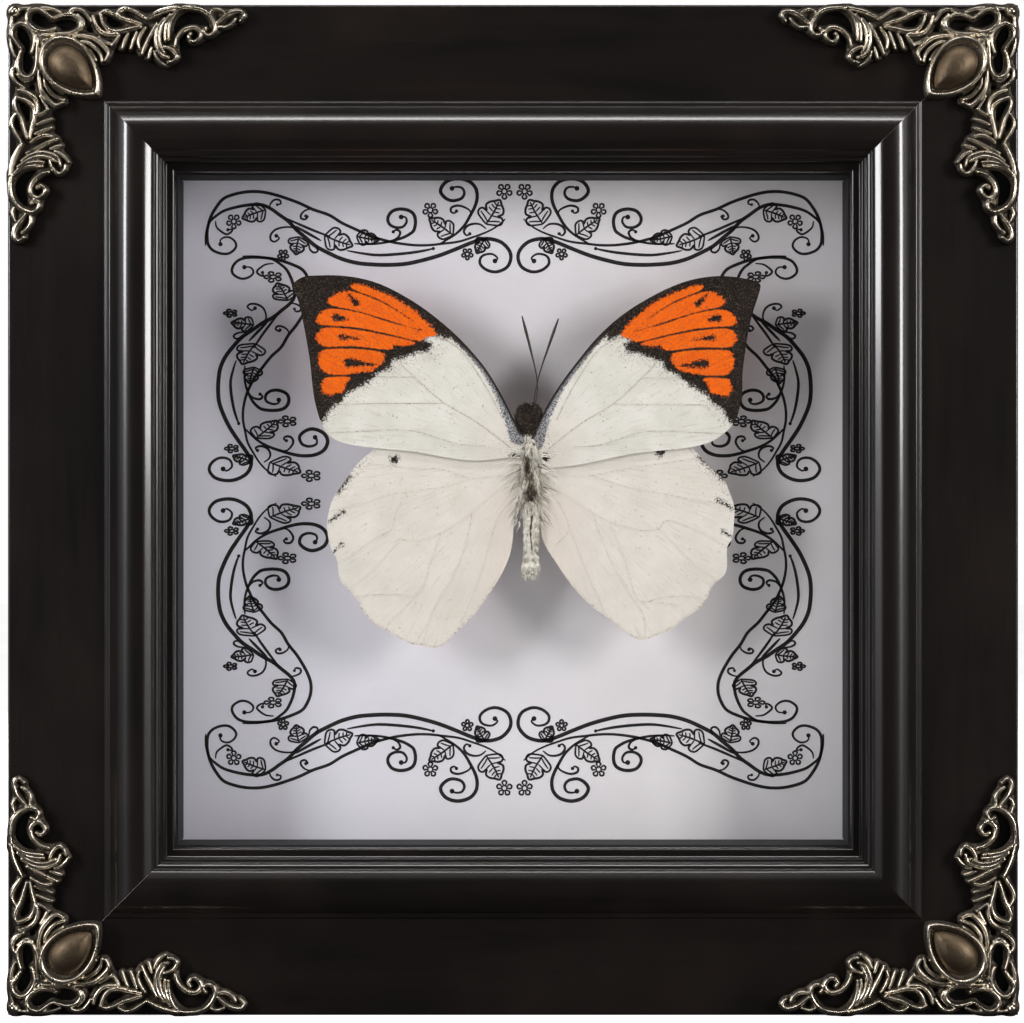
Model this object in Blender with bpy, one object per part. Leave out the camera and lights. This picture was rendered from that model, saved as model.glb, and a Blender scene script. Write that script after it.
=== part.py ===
"""A spread butterfly in a square, glazed shadow-box frame with cast corner ornaments.

The frame stands upright on its bottom rail and faces -Y, with +X to the right and +Z up.
The origin is the centre of the footprint. Lengths are written in millimetres and turned into
metres by MM. "Depth" is counted from the frame's back plane towards the viewer, and "inset"
from a rail's outer edge towards the middle of the frame.
"""
import math

import bmesh
import bpy

MM = 0.001

# Driving dimensions, in millimetres
FRAME_SIDE = 200.0
BAND_DEPTH = 30.0
CREST_DEPTH = 34.0
LIP_INSET = 33.0
REBATE_INSET = 27.0
REBATE_DEPTH = 26.5
GAP = 0.3

GLASS_THICKNESS = 2.0
SPACER_DEPTH = 14.7
CARD_THICKNESS = 1.2
PANEL_THICKNESS = 3.0
TAB_THICKNESS = 0.6
TAB_LENGTH = 11.0
TAB_WIDTH = 8.0
TAB_SPREAD = 42.0
TAB_BEND = 4.0
TAB_DIP = 0.8

HANGER_WIDTH = 45.0
HANGER_HEIGHT = 8.0
HANGER_THICKNESS = 0.8
HANGER_DROP = 22.0
HANGER_TEETH = 9
TOOTH_HEIGHT = 1.6
HANGER_CHAMFER = 1.0
HANGER_PLAIN_END = 2.5
END_SLOPE = 1.5
NAIL_SPREAD = 19.0
NAIL_RADIUS = 1.6
NAIL_THICKNESS = 0.8
NAIL_EDGE = 0.4
NAIL_CROWN = 0.6
NAIL_SEGMENTS = 16

PLATE_HEIGHT = 2.6
BOSS_TOP = 4.9
BOSS_CENTRE = 18.35
BOSS_HALF_LENGTH = 7.67
BOSS_HALF_WIDTH = 5.9
BOSS_SEGMENTS = 32

SPECIMEN_X = 3.4
SPECIMEN_Z = 108.0
BODY_RADIUS = 3.2
WING_THICKNESS = 0.4
PAD_WIDTH = 8.0
PAD_HEIGHT = 12.0

# Derived positions, in millimetres
HALF_SIDE = FRAME_SIDE / 2
TOTAL_DEPTH = BAND_DEPTH + GAP + BOSS_TOP
BACK_Y = TOTAL_DEPTH / 2
GLASS_FRONT = REBATE_DEPTH - GAP
SPACER_FRONT = GLASS_FRONT - GLASS_THICKNESS - GAP
CARD_FRONT = SPACER_FRONT - SPACER_DEPTH - GAP
PANEL_FRONT = CARD_FRONT - CARD_THICKNESS - GAP
PANEL_BACK = PANEL_FRONT - PANEL_THICKNESS
INSERT_INSET = REBATE_INSET + GAP
BODY_DEPTH = CARD_FRONT + 10.4

# Rail section as (inset, depth), round the wood from its outer back edge
RAIL_SECTION = [
    (0.4, 0.0), (0.0, 0.4), (0.0, 29.5), (0.5, BAND_DEPTH),
    (19.2, BAND_DEPTH), (19.4, 30.6), (20.2, 30.7), (21.0, 30.9), (21.7, 31.5), (22.1, 32.3),
    (22.7, 33.2), (23.5, 33.8), (24.4, CREST_DEPTH),
    (27.2, CREST_DEPTH), (28.0, 33.7), (28.6, 33.0), (28.9, 32.3), (29.5, 32.2), (30.1, 31.8),
    (30.4, 31.2), (30.8, 31.1), (31.1, 30.8),
    (31.1, 28.6), (32.6, 28.5), (LIP_INSET, 28.1),
    (LIP_INSET, REBATE_DEPTH), (REBATE_INSET, REBATE_DEPTH), (REBATE_INSET, 0.4), (26.6, 0.0),
]

# Radius of the insect's body against height above the middle of the thorax
BODY_PROFILE = [
    (13.4, 1.2), (12.6, 2.2), (11.0, 2.7), (9.4, 2.3), (8.0, 1.5), (6.6, 2.0), (4.8, 2.9),
    (2.2, BODY_RADIUS), (-1.5, 3.1), (-4.8, 2.6), (-7.2, 1.9), (-10.0, 1.8), (-14.0, 1.6),
    (-17.4, 1.6), (-19.4, 1.9), (-20.9, 1.4),
]
BODY_TOP = 13.9
BODY_BOTTOM = -21.6

# Wing outlines as (distance out from the body's axis, height above the middle of the thorax)
FOREWING_LEFT = [
    (3.7, 8.6), (6.0, 15.4), (10.6, 22.6), (17.6, 28.9), (24.4, 34.3), (31.5, 37.7), (38.3, 38.9),
    (45.3, 38.7), (47.5, 36.9), (45.9, 33.0), (44.9, 26.9), (43.7, 18.2), (42.3, 11.0),
    (40.7, 7.6), (38.3, 5.8), (28.1, 4.2), (14.2, 2.4), (3.7, 3.0),
]
FOREWING_RIGHT = [
    (3.7, 8.6), (4.8, 14.0), (11.8, 23.6), (18.6, 29.7), (25.7, 35.1), (32.5, 38.1), (39.1, 38.9),
    (43.9, 38.3), (46.1, 36.7), (45.3, 32.5), (43.9, 26.9), (42.5, 20.0), (42.1, 14.0),
    (41.1, 10.6), (39.5, 7.6), (35.9, 5.4), (22.0, 3.8), (10.0, 1.6), (3.7, 3.0),
]
HINDWING_LEFT = [
    (3.7, 2.6), (12.0, 5.8), (22.0, 6.4), (29.5, 4.2), (36.0, -0.6), (40.0, -7.0), (40.6, -12.6),
    (38.9, -18.0), (37.3, -23.2), (34.7, -26.4), (28.9, -32.3), (18.8, -35.5), (12.8, -30.5),
    (6.4, -21.6), (3.9, -13.2), (3.7, -4.0),
]
HINDWING_RIGHT = [
    (3.7, 2.2), (12.0, 5.0), (24.0, 6.4), (32.5, 4.0), (38.9, -2.0), (40.9, -8.0), (40.5, -13.6),
    (39.0, -19.6), (36.3, -23.6), (34.0, -27.6), (28.5, -31.7), (21.8, -33.9), (15.2, -29.9),
    (8.0, -22.4), (3.7, -14.6), (3.6, -5.2),
]
FOREWING_DEPTH = BODY_DEPTH + 0.9
HINDWING_DEPTH = BODY_DEPTH + 0.1

# Antennae as (x from the body's axis, height above the middle of the thorax)
ANTENNA_LEFT = [(0.75, 14.4), (0.75, 18.6), (-0.4, 24.6), (-1.6, 30.6)]
ANTENNA_RIGHT = [(1.75, 14.4), (1.85, 18.6), (3.7, 24.4), (5.6, 30.2)]
ANTENNA_RADIUS = 0.2

# One leg of a corner ornament: (distance along the frame's side, distance in from the edge),
# from the outer corner along the edge to the leg's tip, and back to the boss's point
LEG_OUTLINE = [
    (0.9, 0.9), (3.4, 0.8), (6.0, 1.0), (9.0, 2.0), (12.4, 1.0), (15.4, 1.3), (17.6, 2.8),
    (20.6, 1.3), (24.4, 1.2), (28.2, 2.7), (32.4, 1.2), (37.2, 0.9), (41.4, 1.7), (45.0, 0.9),
    (47.2, 2.4), (45.4, 4.4), (41.6, 5.4), (39.4, 7.2), (35.0, 8.2), (32.8, 11.6), (29.6, 12.5),
    (25.6, 10.9), (21.6, 9.4), (20.9, 12.6), (18.6, 14.8), (19.0, 19.0),
]
# Openings in that leg: (along, in, half length, half width, slope in degrees)
LEG_HOLES = [
    (6.2, 3.4, 1.9, 0.9, 24.0),
    (11.9, 3.9, 1.9, 1.1, -8.0),
    (22.2, 3.7, 2.2, 0.9, 16.0),
    (35.8, 3.4, 3.4, 1.3, 4.0),
]
HOLE_SEGMENTS = 12

# Corner and side directions: (name, sign of x, sign of z)
CORNERS = [
    ("top_left", -1, 1), ("top_right", 1, 1), ("bottom_left", -1, -1), ("bottom_right", 1, -1),
]


def clear_scene():
    for scene_object in list(bpy.data.objects):
        bpy.data.objects.remove(scene_object)


def make_material(name, color, roughness, metallic=0.0):
    material = bpy.data.materials.new(name)
    material.use_nodes = True
    shader = material.node_tree.nodes["Principled BSDF"]
    shader.inputs["Base Color"].default_value = (*color, 1.0)
    shader.inputs["Roughness"].default_value = roughness
    shader.inputs["Metallic"].default_value = metallic
    return material


def depth_y(depth):
    """World y, in millimetres, of a depth counted from the frame's back plane."""
    return BACK_Y - depth


def to_metres(point):
    return [value * MM for value in point]


def make_object(name, mesh_builder, material):
    """Turn a filled bmesh into a named object whose faces point out."""
    bmesh.ops.recalc_face_normals(mesh_builder, faces=mesh_builder.faces)
    mesh = bpy.data.meshes.new(name)
    mesh_builder.to_mesh(mesh)
    mesh_builder.free()
    mesh.materials.append(material)
    new_object = bpy.data.objects.new(name, mesh)
    bpy.context.scene.collection.objects.link(new_object)
    return new_object


def loft(name, rings, material, first_tip=None, last_tip=None):
    """Closed solid through rings of points in millimetres, closed by end faces or by tips."""
    builder = bmesh.new()
    ring_verts = [[builder.verts.new(to_metres(point)) for point in ring] for ring in rings]
    count = len(rings[0])
    for lower, upper in zip(ring_verts, ring_verts[1:]):
        for index in range(count):
            following = (index + 1) % count
            builder.faces.new((lower[index], lower[following], upper[following], upper[index]))
    for ring, tip in ((ring_verts[0], first_tip), (ring_verts[-1], last_tip)):
        if tip is None:
            builder.faces.new(ring)
            continue
        tip_vert = builder.verts.new(to_metres(tip))
        for index in range(count):
            builder.faces.new((ring[index], ring[(index + 1) % count], tip_vert))
    return make_object(name, builder, material)


def upright_slab(name, outline, back_depth, front_depth, material):
    """Extrude an (x, z) outline from one depth to another."""
    rings = [[(x, depth_y(depth), z) for x, z in outline] for depth in (back_depth, front_depth)]
    return loft(name, rings, material)


def rectangle(centre_x, centre_z, width, height):
    half_width = width / 2
    half_height = height / 2
    return [
        (centre_x - half_width, centre_z - half_height),
        (centre_x + half_width, centre_z - half_height),
        (centre_x + half_width, centre_z + half_height),
        (centre_x - half_width, centre_z + half_height),
    ]


def smooth_curve(points, steps, closed):
    """Points along a Catmull-Rom curve through the given points."""
    count = len(points)
    spans = count if closed else count - 1
    curve = []
    for span in range(spans):
        picks = [span - 1, span, span + 1, span + 2]
        if closed:
            p0, p1, p2, p3 = (points[pick % count] for pick in picks)
        else:
            p0, p1, p2, p3 = (points[min(max(pick, 0), count - 1)] for pick in picks)
        for step in range(steps):
            t = step / steps
            curve.append(tuple(
                0.5 * (2 * b + (c - a) * t + (2 * a - 5 * b + 4 * c - d) * t * t
                       + (3 * b - a - 3 * c + d) * t * t * t)
                for a, b, c, d in zip(p0, p1, p2, p3)
            ))
    if not closed:
        curve.append(tuple(points[-1]))
    return curve


def side_point(side, along, inset):
    """(x, z) of a point on one side of the frame, from its place along and in from that side."""
    reach = HALF_SIDE - inset
    middle = FRAME_SIDE / 2
    return {
        "top": (along, middle + reach),
        "bottom": (along, middle - reach),
        "left": (-reach, middle + along),
        "right": (reach, middle + along),
    }[side]


def add_rails(material):
    """Four mitred lengths of one rebated moulding."""
    mitre_gap = GAP / math.sqrt(2)
    for side in ("top", "bottom", "left", "right"):
        rings = []
        for end in (-1, 1):
            ring = []
            for inset, depth in RAIL_SECTION:
                along = end * (HALF_SIDE - inset - mitre_gap)
                x, z = side_point(side, along, inset)
                ring.append((x, depth_y(depth), z))
            rings.append(ring)
        loft(f"rail_{side}", rings, material)


def insert_outline():
    side = FRAME_SIDE - 2 * INSERT_INSET
    return rectangle(0.0, FRAME_SIDE / 2, side, side)


def add_spacers(material):
    """Strips that hold the glass off the card, flush with the lip; the side ones fit between."""
    outer = HALF_SIDE - INSERT_INSET
    inner = HALF_SIDE - LIP_INSET - GAP
    width = outer - inner
    middle = FRAME_SIDE / 2
    centre = (outer + inner) / 2
    upright = 2 * (inner - GAP)
    outlines = {
        "top": rectangle(0.0, middle + centre, 2 * outer, width),
        "bottom": rectangle(0.0, middle - centre, 2 * outer, width),
        "left": rectangle(-centre, middle, width, upright),
        "right": rectangle(centre, middle, width, upright),
    }
    for side, outline in outlines.items():
        upright_slab(f"spacer_{side}", outline, SPACER_FRONT - SPACER_DEPTH, SPACER_FRONT, material)


def add_retaining_tabs(material):
    """Two bent metal tabs on each side, pressed over the back panel."""
    back = PANEL_BACK - GAP
    section = [
        (INSERT_INSET, back - TAB_DIP - TAB_THICKNESS),
        (INSERT_INSET + TAB_BEND, back - TAB_THICKNESS),
        (INSERT_INSET + TAB_LENGTH, back - TAB_THICKNESS), (INSERT_INSET + TAB_LENGTH, back),
        (INSERT_INSET + TAB_BEND, back), (INSERT_INSET, back - TAB_DIP),
    ]
    for side in ("top", "bottom", "left", "right"):
        for number, centre in enumerate((-TAB_SPREAD, TAB_SPREAD), start=1):
            rings = []
            for along in (centre - TAB_WIDTH / 2, centre + TAB_WIDTH / 2):
                ring = []
                for inset, depth in section:
                    x, z = side_point(side, along, inset)
                    ring.append((x, depth_y(depth), z))
                rings.append(ring)
            loft(f"retaining_tab_{side}_{number}", rings, material)


def add_hanger(material):
    """Sawtooth hanger on the back panel, with a nail head at each end."""
    top = FRAME_SIDE - REBATE_INSET - HANGER_DROP
    half_width = HANGER_WIDTH / 2
    toothed_half = NAIL_SPREAD - HANGER_PLAIN_END
    tooth = 2 * toothed_half / HANGER_TEETH
    root = top - HANGER_HEIGHT
    cut = HANGER_CHAMFER
    outline = [(-half_width, root + cut), (-half_width, top - cut), (-half_width + cut, top),
               (half_width - cut, top), (half_width, top - cut), (half_width, root + cut),
               (toothed_half + END_SLOPE, root)]
    for number in range(HANGER_TEETH):
        right = toothed_half - number * tooth
        outline.append((right, root))
        outline.append((right - tooth / 2, root + TOOTH_HEIGHT))
    outline.append((-toothed_half, root))
    outline.append((-toothed_half - END_SLOPE, root))
    back = PANEL_BACK - GAP
    upright_slab("sawtooth_hanger", outline, back - HANGER_THICKNESS, back, material)

    nail_back = back - HANGER_THICKNESS - GAP
    for side_name, sign in (("left", -1), ("right", 1)):
        centre_x = sign * NAIL_SPREAD
        centre_z = top - HANGER_HEIGHT / 2
        rings = []
        for depth, radius in ((nail_back, NAIL_RADIUS), (nail_back - NAIL_EDGE, NAIL_RADIUS),
                              (nail_back - NAIL_THICKNESS, NAIL_RADIUS * NAIL_CROWN)):
            ring = []
            for step in range(NAIL_SEGMENTS):
                angle = math.tau * step / NAIL_SEGMENTS
                x = centre_x + radius * math.cos(angle)
                z = centre_z + radius * math.sin(angle)
                ring.append((x, depth_y(depth), z))
            rings.append(ring)
        loft(f"hanger_nail_{side_name}", rings, material)


def corner_point(sign_x, sign_z, along, inset):
    """(x, z) of a point given by its distances from a corner along x and along z."""
    return sign_x * (HALF_SIDE - along), FRAME_SIDE / 2 + sign_z * (HALF_SIDE - inset)


def ornament_outline():
    """Both legs: the second is the first mirrored in the corner's diagonal."""
    leg = smooth_curve(LEG_OUTLINE, 2, closed=False)
    other_leg = [(inset, along) for along, inset in reversed(leg[1:-1])]
    return leg + other_leg


def boss_outline(scale):
    """Teardrop whose point faces the middle of the frame, as (along, inset) from the corner."""
    points = []
    for step in range(BOSS_SEGMENTS):
        angle = math.tau * step / BOSS_SEGMENTS
        lengthwise = BOSS_CENTRE + scale * BOSS_HALF_LENGTH * math.cos(angle)
        taper = math.sqrt(math.sin(angle / 2))
        sideways = scale * BOSS_HALF_WIDTH * math.sin(angle) * taper
        points.append(((lengthwise - sideways) / math.sqrt(2), (lengthwise + sideways) / math.sqrt(2)))
    return points


def hide_helper(helper):
    helper.hide_render = True
    helper.display_type = "WIRE"


def add_boolean(target, helper, operation):
    modifier = target.modifiers.new(operation.lower(), "BOOLEAN")
    modifier.operation = operation
    modifier.object = helper
    hide_helper(helper)


def add_ornament(corner_name, sign_x, sign_z, material):
    """Cast corner: a pierced plate with scalloped edges under a teardrop boss."""
    base = BAND_DEPTH + GAP

    def ring_at(points, height):
        ring = []
        for along, inset in points:
            x, z = corner_point(sign_x, sign_z, along, inset)
            ring.append((x, depth_y(base + height), z))
        return ring

    outline = ornament_outline()
    plate = loft(f"corner_ornament_{corner_name}",
                 [ring_at(outline, 0.0), ring_at(outline, PLATE_HEIGHT)], material)

    boss_steps = [(1.0, 0.5), (1.0, 3.0), (0.93, 3.5), (0.83, 3.4), (0.77, 3.1), (0.62, 4.2),
                  (0.36, 4.75)]
    rings = [ring_at(boss_outline(scale), height) for scale, height in boss_steps]
    centre = BOSS_CENTRE / math.sqrt(2)
    tip_x, tip_z = corner_point(sign_x, sign_z, centre, centre)
    boss = loft(f"boss_guide_{corner_name}", rings, material,
                last_tip=(tip_x, depth_y(base + BOSS_TOP), tip_z))
    add_boolean(plate, boss, "UNION")

    for leg in (0, 1):
        for number, (along, inset, half_length, half_width, slope) in enumerate(LEG_HOLES):
            cosine = math.cos(math.radians(slope))
            sine = math.sin(math.radians(slope))
            hole = []
            for step in range(HOLE_SEGMENTS):
                angle = math.tau * step / HOLE_SEGMENTS
                u = half_length * math.cos(angle)
                v = half_width * math.sin(angle)
                point = (along + u * cosine - v * sine, inset + u * sine + v * cosine)
                hole.append(point if leg == 0 else (point[1], point[0]))
            cutter = loft(f"hole_guide_{corner_name}_{leg}_{number}",
                          [ring_at(hole, -1.0), ring_at(hole, PLATE_HEIGHT + 1.0)], material)
            add_boolean(plate, cutter, "DIFFERENCE")


def specimen_point(out, up, sign=1):
    return SPECIMEN_X + sign * out, SPECIMEN_Z + up


def add_body(material):
    """Head, thorax and abdomen in one turned solid."""
    segments = 14
    rings = []
    for up, radius in BODY_PROFILE:
        ring = []
        for step in range(segments):
            angle = math.tau * step / segments
            x, z = specimen_point(radius * math.cos(angle), up)
            ring.append((x, depth_y(BODY_DEPTH) + radius * math.sin(angle), z))
        rings.append(ring)
    y = depth_y(BODY_DEPTH)
    top_x, top_z = specimen_point(0.0, BODY_TOP)
    bottom_x, bottom_z = specimen_point(0.0, BODY_BOTTOM)
    loft("butterfly_body", rings, material,
         first_tip=(top_x, y, top_z), last_tip=(bottom_x, y, bottom_z))


def add_wing(name, outline, sign, depth, material):
    """Thin plate in the outline of one wing."""
    curve = smooth_curve(outline, 3, closed=True)
    points = [specimen_point(out, up, sign) for out, up in curve]
    upright_slab(name, points, depth, depth + WING_THICKNESS, material)


def add_antenna(name, route, material):
    """Thin stalk with a small club at its tip, as a bevelled curve."""
    path = smooth_curve(route, 4, closed=False)
    curve = bpy.data.curves.new(name, "CURVE")
    curve.dimensions = "3D"
    curve.bevel_depth = ANTENNA_RADIUS * MM
    curve.bevel_resolution = 1
    curve.use_fill_caps = True
    spline = curve.splines.new("POLY")
    spline.points.add(len(path) - 1)
    for number, (out, up) in enumerate(path):
        x, z = specimen_point(out, up)
        spline.points[number].co = (*to_metres((x, depth_y(BODY_DEPTH + 1.0), z)), 1.0)
        spline.points[number].radius = 1.8 if number >= len(path) - 2 else 1.0
    curve.materials.append(material)
    antenna = bpy.data.objects.new(name, curve)
    bpy.context.scene.collection.objects.link(antenna)


def add_specimen():
    body_fur = make_material("body_fur", (0.62, 0.60, 0.50), 0.9)
    wing_scales = make_material("wing_scales", (0.80, 0.78, 0.70), 0.75)
    antenna_black = make_material("antenna_black", (0.02, 0.016, 0.014), 0.5)
    cork = make_material("mounting_cork", (0.45, 0.30, 0.18), 0.9)

    add_body(body_fur)
    add_wing("forewing_left", FOREWING_LEFT, -1, FOREWING_DEPTH, wing_scales)
    add_wing("forewing_right", FOREWING_RIGHT, 1, FOREWING_DEPTH, wing_scales)
    add_wing("hindwing_left", HINDWING_LEFT, -1, HINDWING_DEPTH, wing_scales)
    add_wing("hindwing_right", HINDWING_RIGHT, 1, HINDWING_DEPTH, wing_scales)
    add_antenna("antenna_left", ANTENNA_LEFT, antenna_black)
    add_antenna("antenna_right", ANTENNA_RIGHT, antenna_black)

    pad_outline = rectangle(SPECIMEN_X, SPECIMEN_Z - 1.0, PAD_WIDTH, PAD_HEIGHT)
    pad_front = BODY_DEPTH - BODY_RADIUS - GAP
    upright_slab("mounting_pad", pad_outline, CARD_FRONT + GAP, pad_front, cork)


def main():
    clear_scene()
    stained_wood = make_material("stained_wood", (0.018, 0.013, 0.010), 0.35)
    clear_glass = make_material("clear_glass", (0.95, 0.97, 0.97), 0.02)
    black_foam = make_material("black_foam", (0.02, 0.02, 0.02), 0.9)
    printed_card = make_material("printed_card", (0.72, 0.70, 0.71), 0.85)
    hardboard = make_material("hardboard", (0.20, 0.12, 0.07), 0.8)
    zinc_plate = make_material("zinc_plate", (0.60, 0.60, 0.60), 0.35, metallic=1.0)
    cast_metal = make_material("antiqued_metal", (0.42, 0.37, 0.29), 0.35, metallic=1.0)

    add_rails(stained_wood)
    upright_slab("glass_pane", insert_outline(), GLASS_FRONT - GLASS_THICKNESS, GLASS_FRONT,
                 clear_glass)
    add_spacers(black_foam)
    upright_slab("backing_card", insert_outline(), CARD_FRONT - CARD_THICKNESS, CARD_FRONT,
                 printed_card)
    upright_slab("back_panel", insert_outline(), PANEL_BACK, PANEL_FRONT, hardboard)
    add_retaining_tabs(zinc_plate)
    add_hanger(zinc_plate)
    for corner_name, sign_x, sign_z in CORNERS:
        add_ornament(corner_name, sign_x, sign_z, cast_metal)
    add_specimen()


main()
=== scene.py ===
"""Looks of the framed butterfly specimen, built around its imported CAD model.

Lengths are in millimetres and become metres through MM. The frame faces -Y. "Depth" is counted
from the frame's back plane towards the viewer, "inset" from the frame's outer edge inwards.
"""

import math

import bmesh
import bpy
import numpy as np
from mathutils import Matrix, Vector


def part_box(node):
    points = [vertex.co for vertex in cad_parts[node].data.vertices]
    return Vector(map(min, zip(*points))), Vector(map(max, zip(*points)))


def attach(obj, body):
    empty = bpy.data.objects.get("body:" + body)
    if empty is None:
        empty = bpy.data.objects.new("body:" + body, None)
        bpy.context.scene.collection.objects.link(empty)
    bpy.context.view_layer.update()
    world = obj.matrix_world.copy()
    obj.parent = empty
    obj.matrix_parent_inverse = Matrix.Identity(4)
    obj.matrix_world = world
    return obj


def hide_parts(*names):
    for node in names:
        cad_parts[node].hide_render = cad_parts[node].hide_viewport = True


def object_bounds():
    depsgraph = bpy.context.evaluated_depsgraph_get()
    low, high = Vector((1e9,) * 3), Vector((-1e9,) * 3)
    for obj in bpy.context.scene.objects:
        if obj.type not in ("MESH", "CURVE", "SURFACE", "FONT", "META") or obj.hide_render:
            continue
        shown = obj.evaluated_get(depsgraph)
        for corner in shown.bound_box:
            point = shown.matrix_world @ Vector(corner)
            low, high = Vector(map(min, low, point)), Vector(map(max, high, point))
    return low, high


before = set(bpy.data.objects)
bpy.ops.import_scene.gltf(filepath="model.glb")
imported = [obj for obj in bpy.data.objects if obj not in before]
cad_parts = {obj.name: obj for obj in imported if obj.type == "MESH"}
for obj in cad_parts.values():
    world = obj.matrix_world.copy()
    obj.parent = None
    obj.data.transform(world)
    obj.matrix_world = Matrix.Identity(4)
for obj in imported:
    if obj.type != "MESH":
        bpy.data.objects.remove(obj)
cad_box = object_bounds()

MM = 0.001
FAR = 1e6

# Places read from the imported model
FRAME_LOW, FRAME_HIGH = (np.array(corner) / MM for corner in cad_box)
HALF_SIDE = (FRAME_HIGH[0] - FRAME_LOW[0]) / 2
MIDDLE_Z = (FRAME_LOW[2] + FRAME_HIGH[2]) / 2
BACK_Y = FRAME_HIGH[1]
CARD_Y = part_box("backing_card")[0].y / MM
ORNAMENT_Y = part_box("corner_ornament_top_left")[1].y / MM
BODY_LOW, BODY_HIGH = (np.array(corner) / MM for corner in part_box("butterfly_body"))
SPECIMEN_X = (BODY_LOW[0] + BODY_HIGH[0]) / 2
HEAD_ABOVE_THORAX = 13.9
SPECIMEN_Z = BODY_HIGH[2] - HEAD_ABOVE_THORAX
BODY_Y = (BODY_LOW[1] + BODY_HIGH[1]) / 2


# Shapes -----------------------------------------------------------------------------------------

def smooth_curve(points, steps=4, closed=False):
    """Points along a Catmull-Rom curve through the given points."""
    points = np.array(points, float)
    count = len(points)
    curve = []
    for span in range(count if closed else count - 1):
        picks = np.arange(span - 1, span + 3)
        picks = picks % count if closed else picks.clip(0, count - 1)
        a, b, c, d = points[picks]
        for step in range(steps):
            t = step / steps
            curve.append(0.5 * (2 * b + (c - a) * t + (2 * a - 5 * b + 4 * c - d) * t * t
                                + (3 * b - a - 3 * c + d) * t ** 3))
    if not closed:
        curve.append(points[-1])
    return np.array(curve)


def distance_to_path(x, y, path, reach=FAR):
    """Distance to a polyline up to `reach`, and where along it (0 to 1) the nearest place is."""
    path = np.asarray(path, float)
    near = ((x > path[:, 0].min() - reach) & (x < path[:, 0].max() + reach)
            & (y > path[:, 1].min() - reach) & (y < path[:, 1].max() + reach))
    px = x[near]
    py = y[near]
    best = np.full(px.shape, FAR)
    place = np.zeros(px.shape)
    spans = np.hypot(*np.diff(path, axis=0).T)
    starts = np.concatenate([[0], np.cumsum(spans)])
    for number, span in enumerate(spans):
        if span == 0:
            continue
        x0, y0 = path[number]
        dx, dy = path[number + 1] - path[number]
        t = np.clip(((px - x0) * dx + (py - y0) * dy) / span ** 2, 0, 1)
        distance = np.hypot(px - x0 - t * dx, py - y0 - t * dy)
        nearer = distance < best
        best = np.where(nearer, distance, best)
        place = np.where(nearer, (starts[number] + t * span) / starts[-1], place)
    distances = np.full(x.shape, FAR)
    places = np.zeros(x.shape)
    distances[near] = best
    places[near] = place
    return distances, places


def signed_distance(x, y, outline):
    """Distance to a closed outline, positive inside it."""
    closed = np.vstack([outline, outline[:1]])
    distance, _ = distance_to_path(x, y, closed)
    inside = np.zeros(x.shape, bool)
    for (x0, y0), (x1, y1) in zip(closed, closed[1:]):
        if y0 != y1:
            crosses = (y0 > y) != (y1 > y)
            inside ^= crosses & (x < x0 + (y - y0) * (x1 - x0) / (y1 - y0))
    return np.where(inside, distance, -distance)


def soft_step(value, low, high):
    t = np.clip((value - low) / (high - low), 0, 1)
    return t * t * (3 - 2 * t)


def direction_of(angle):
    return np.array([math.cos(angle), math.sin(angle)])


def face_outwards(mesh):
    builder = bmesh.new()
    builder.from_mesh(mesh)
    bmesh.ops.recalc_face_normals(builder, faces=builder.faces)
    builder.to_mesh(mesh)
    builder.free()


def tube_faces(rings, segments, first=0):
    """Faces of a closed tube whose rings of points follow one another from index `first`."""
    last = first + (rings - 1) * segments
    faces = [list(range(first, first + segments)), list(range(last, last + segments))]
    for start in range(first, last, segments):
        for index in range(segments):
            following = (index + 1) % segments
            faces.append([start + index, start + following,
                          start + segments + following, start + segments + index])
    return faces


def place_piece(name, mesh, replaces, sharp):
    """Smooth-shaded object for a mesh, riding on the frame's one body."""
    mesh.shade_smooth()
    mesh.set_sharp_from_angle(angle=math.radians(sharp))
    piece = bpy.data.objects.new(name, mesh)
    bpy.context.scene.collection.objects.link(piece)
    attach(piece, "root")
    if replaces:
        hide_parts(*replaces)


def make_piece(name, points, faces, material, replaces=(), sharp=40, numbers=None, vectors=None):
    """Piece from points in millimetres, with its numbers and vectors as attributes."""
    mesh = bpy.data.meshes.new(name)
    mesh.from_pydata((np.asarray(points, float) * MM).tolist(), [], faces)
    face_outwards(mesh)
    for key, values in (numbers or {}).items():
        attribute = mesh.attributes.new(key, "FLOAT", "POINT")
        attribute.data.foreach_set("value", np.asarray(values, np.float32).ravel())
    for key, values in (vectors or {}).items():
        attribute = mesh.attributes.new(key, "FLOAT_VECTOR", "POINT")
        attribute.data.foreach_set("vector", np.asarray(values, np.float32).ravel())
    mesh.materials.append(material)
    place_piece(name, mesh, replaces, sharp)


def grid_axes(low, high, step):
    x = np.arange(low[0], high[0] + step, step)
    y = np.arange(low[1], high[1] + step, step)
    return np.meshgrid(x, y)


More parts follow.
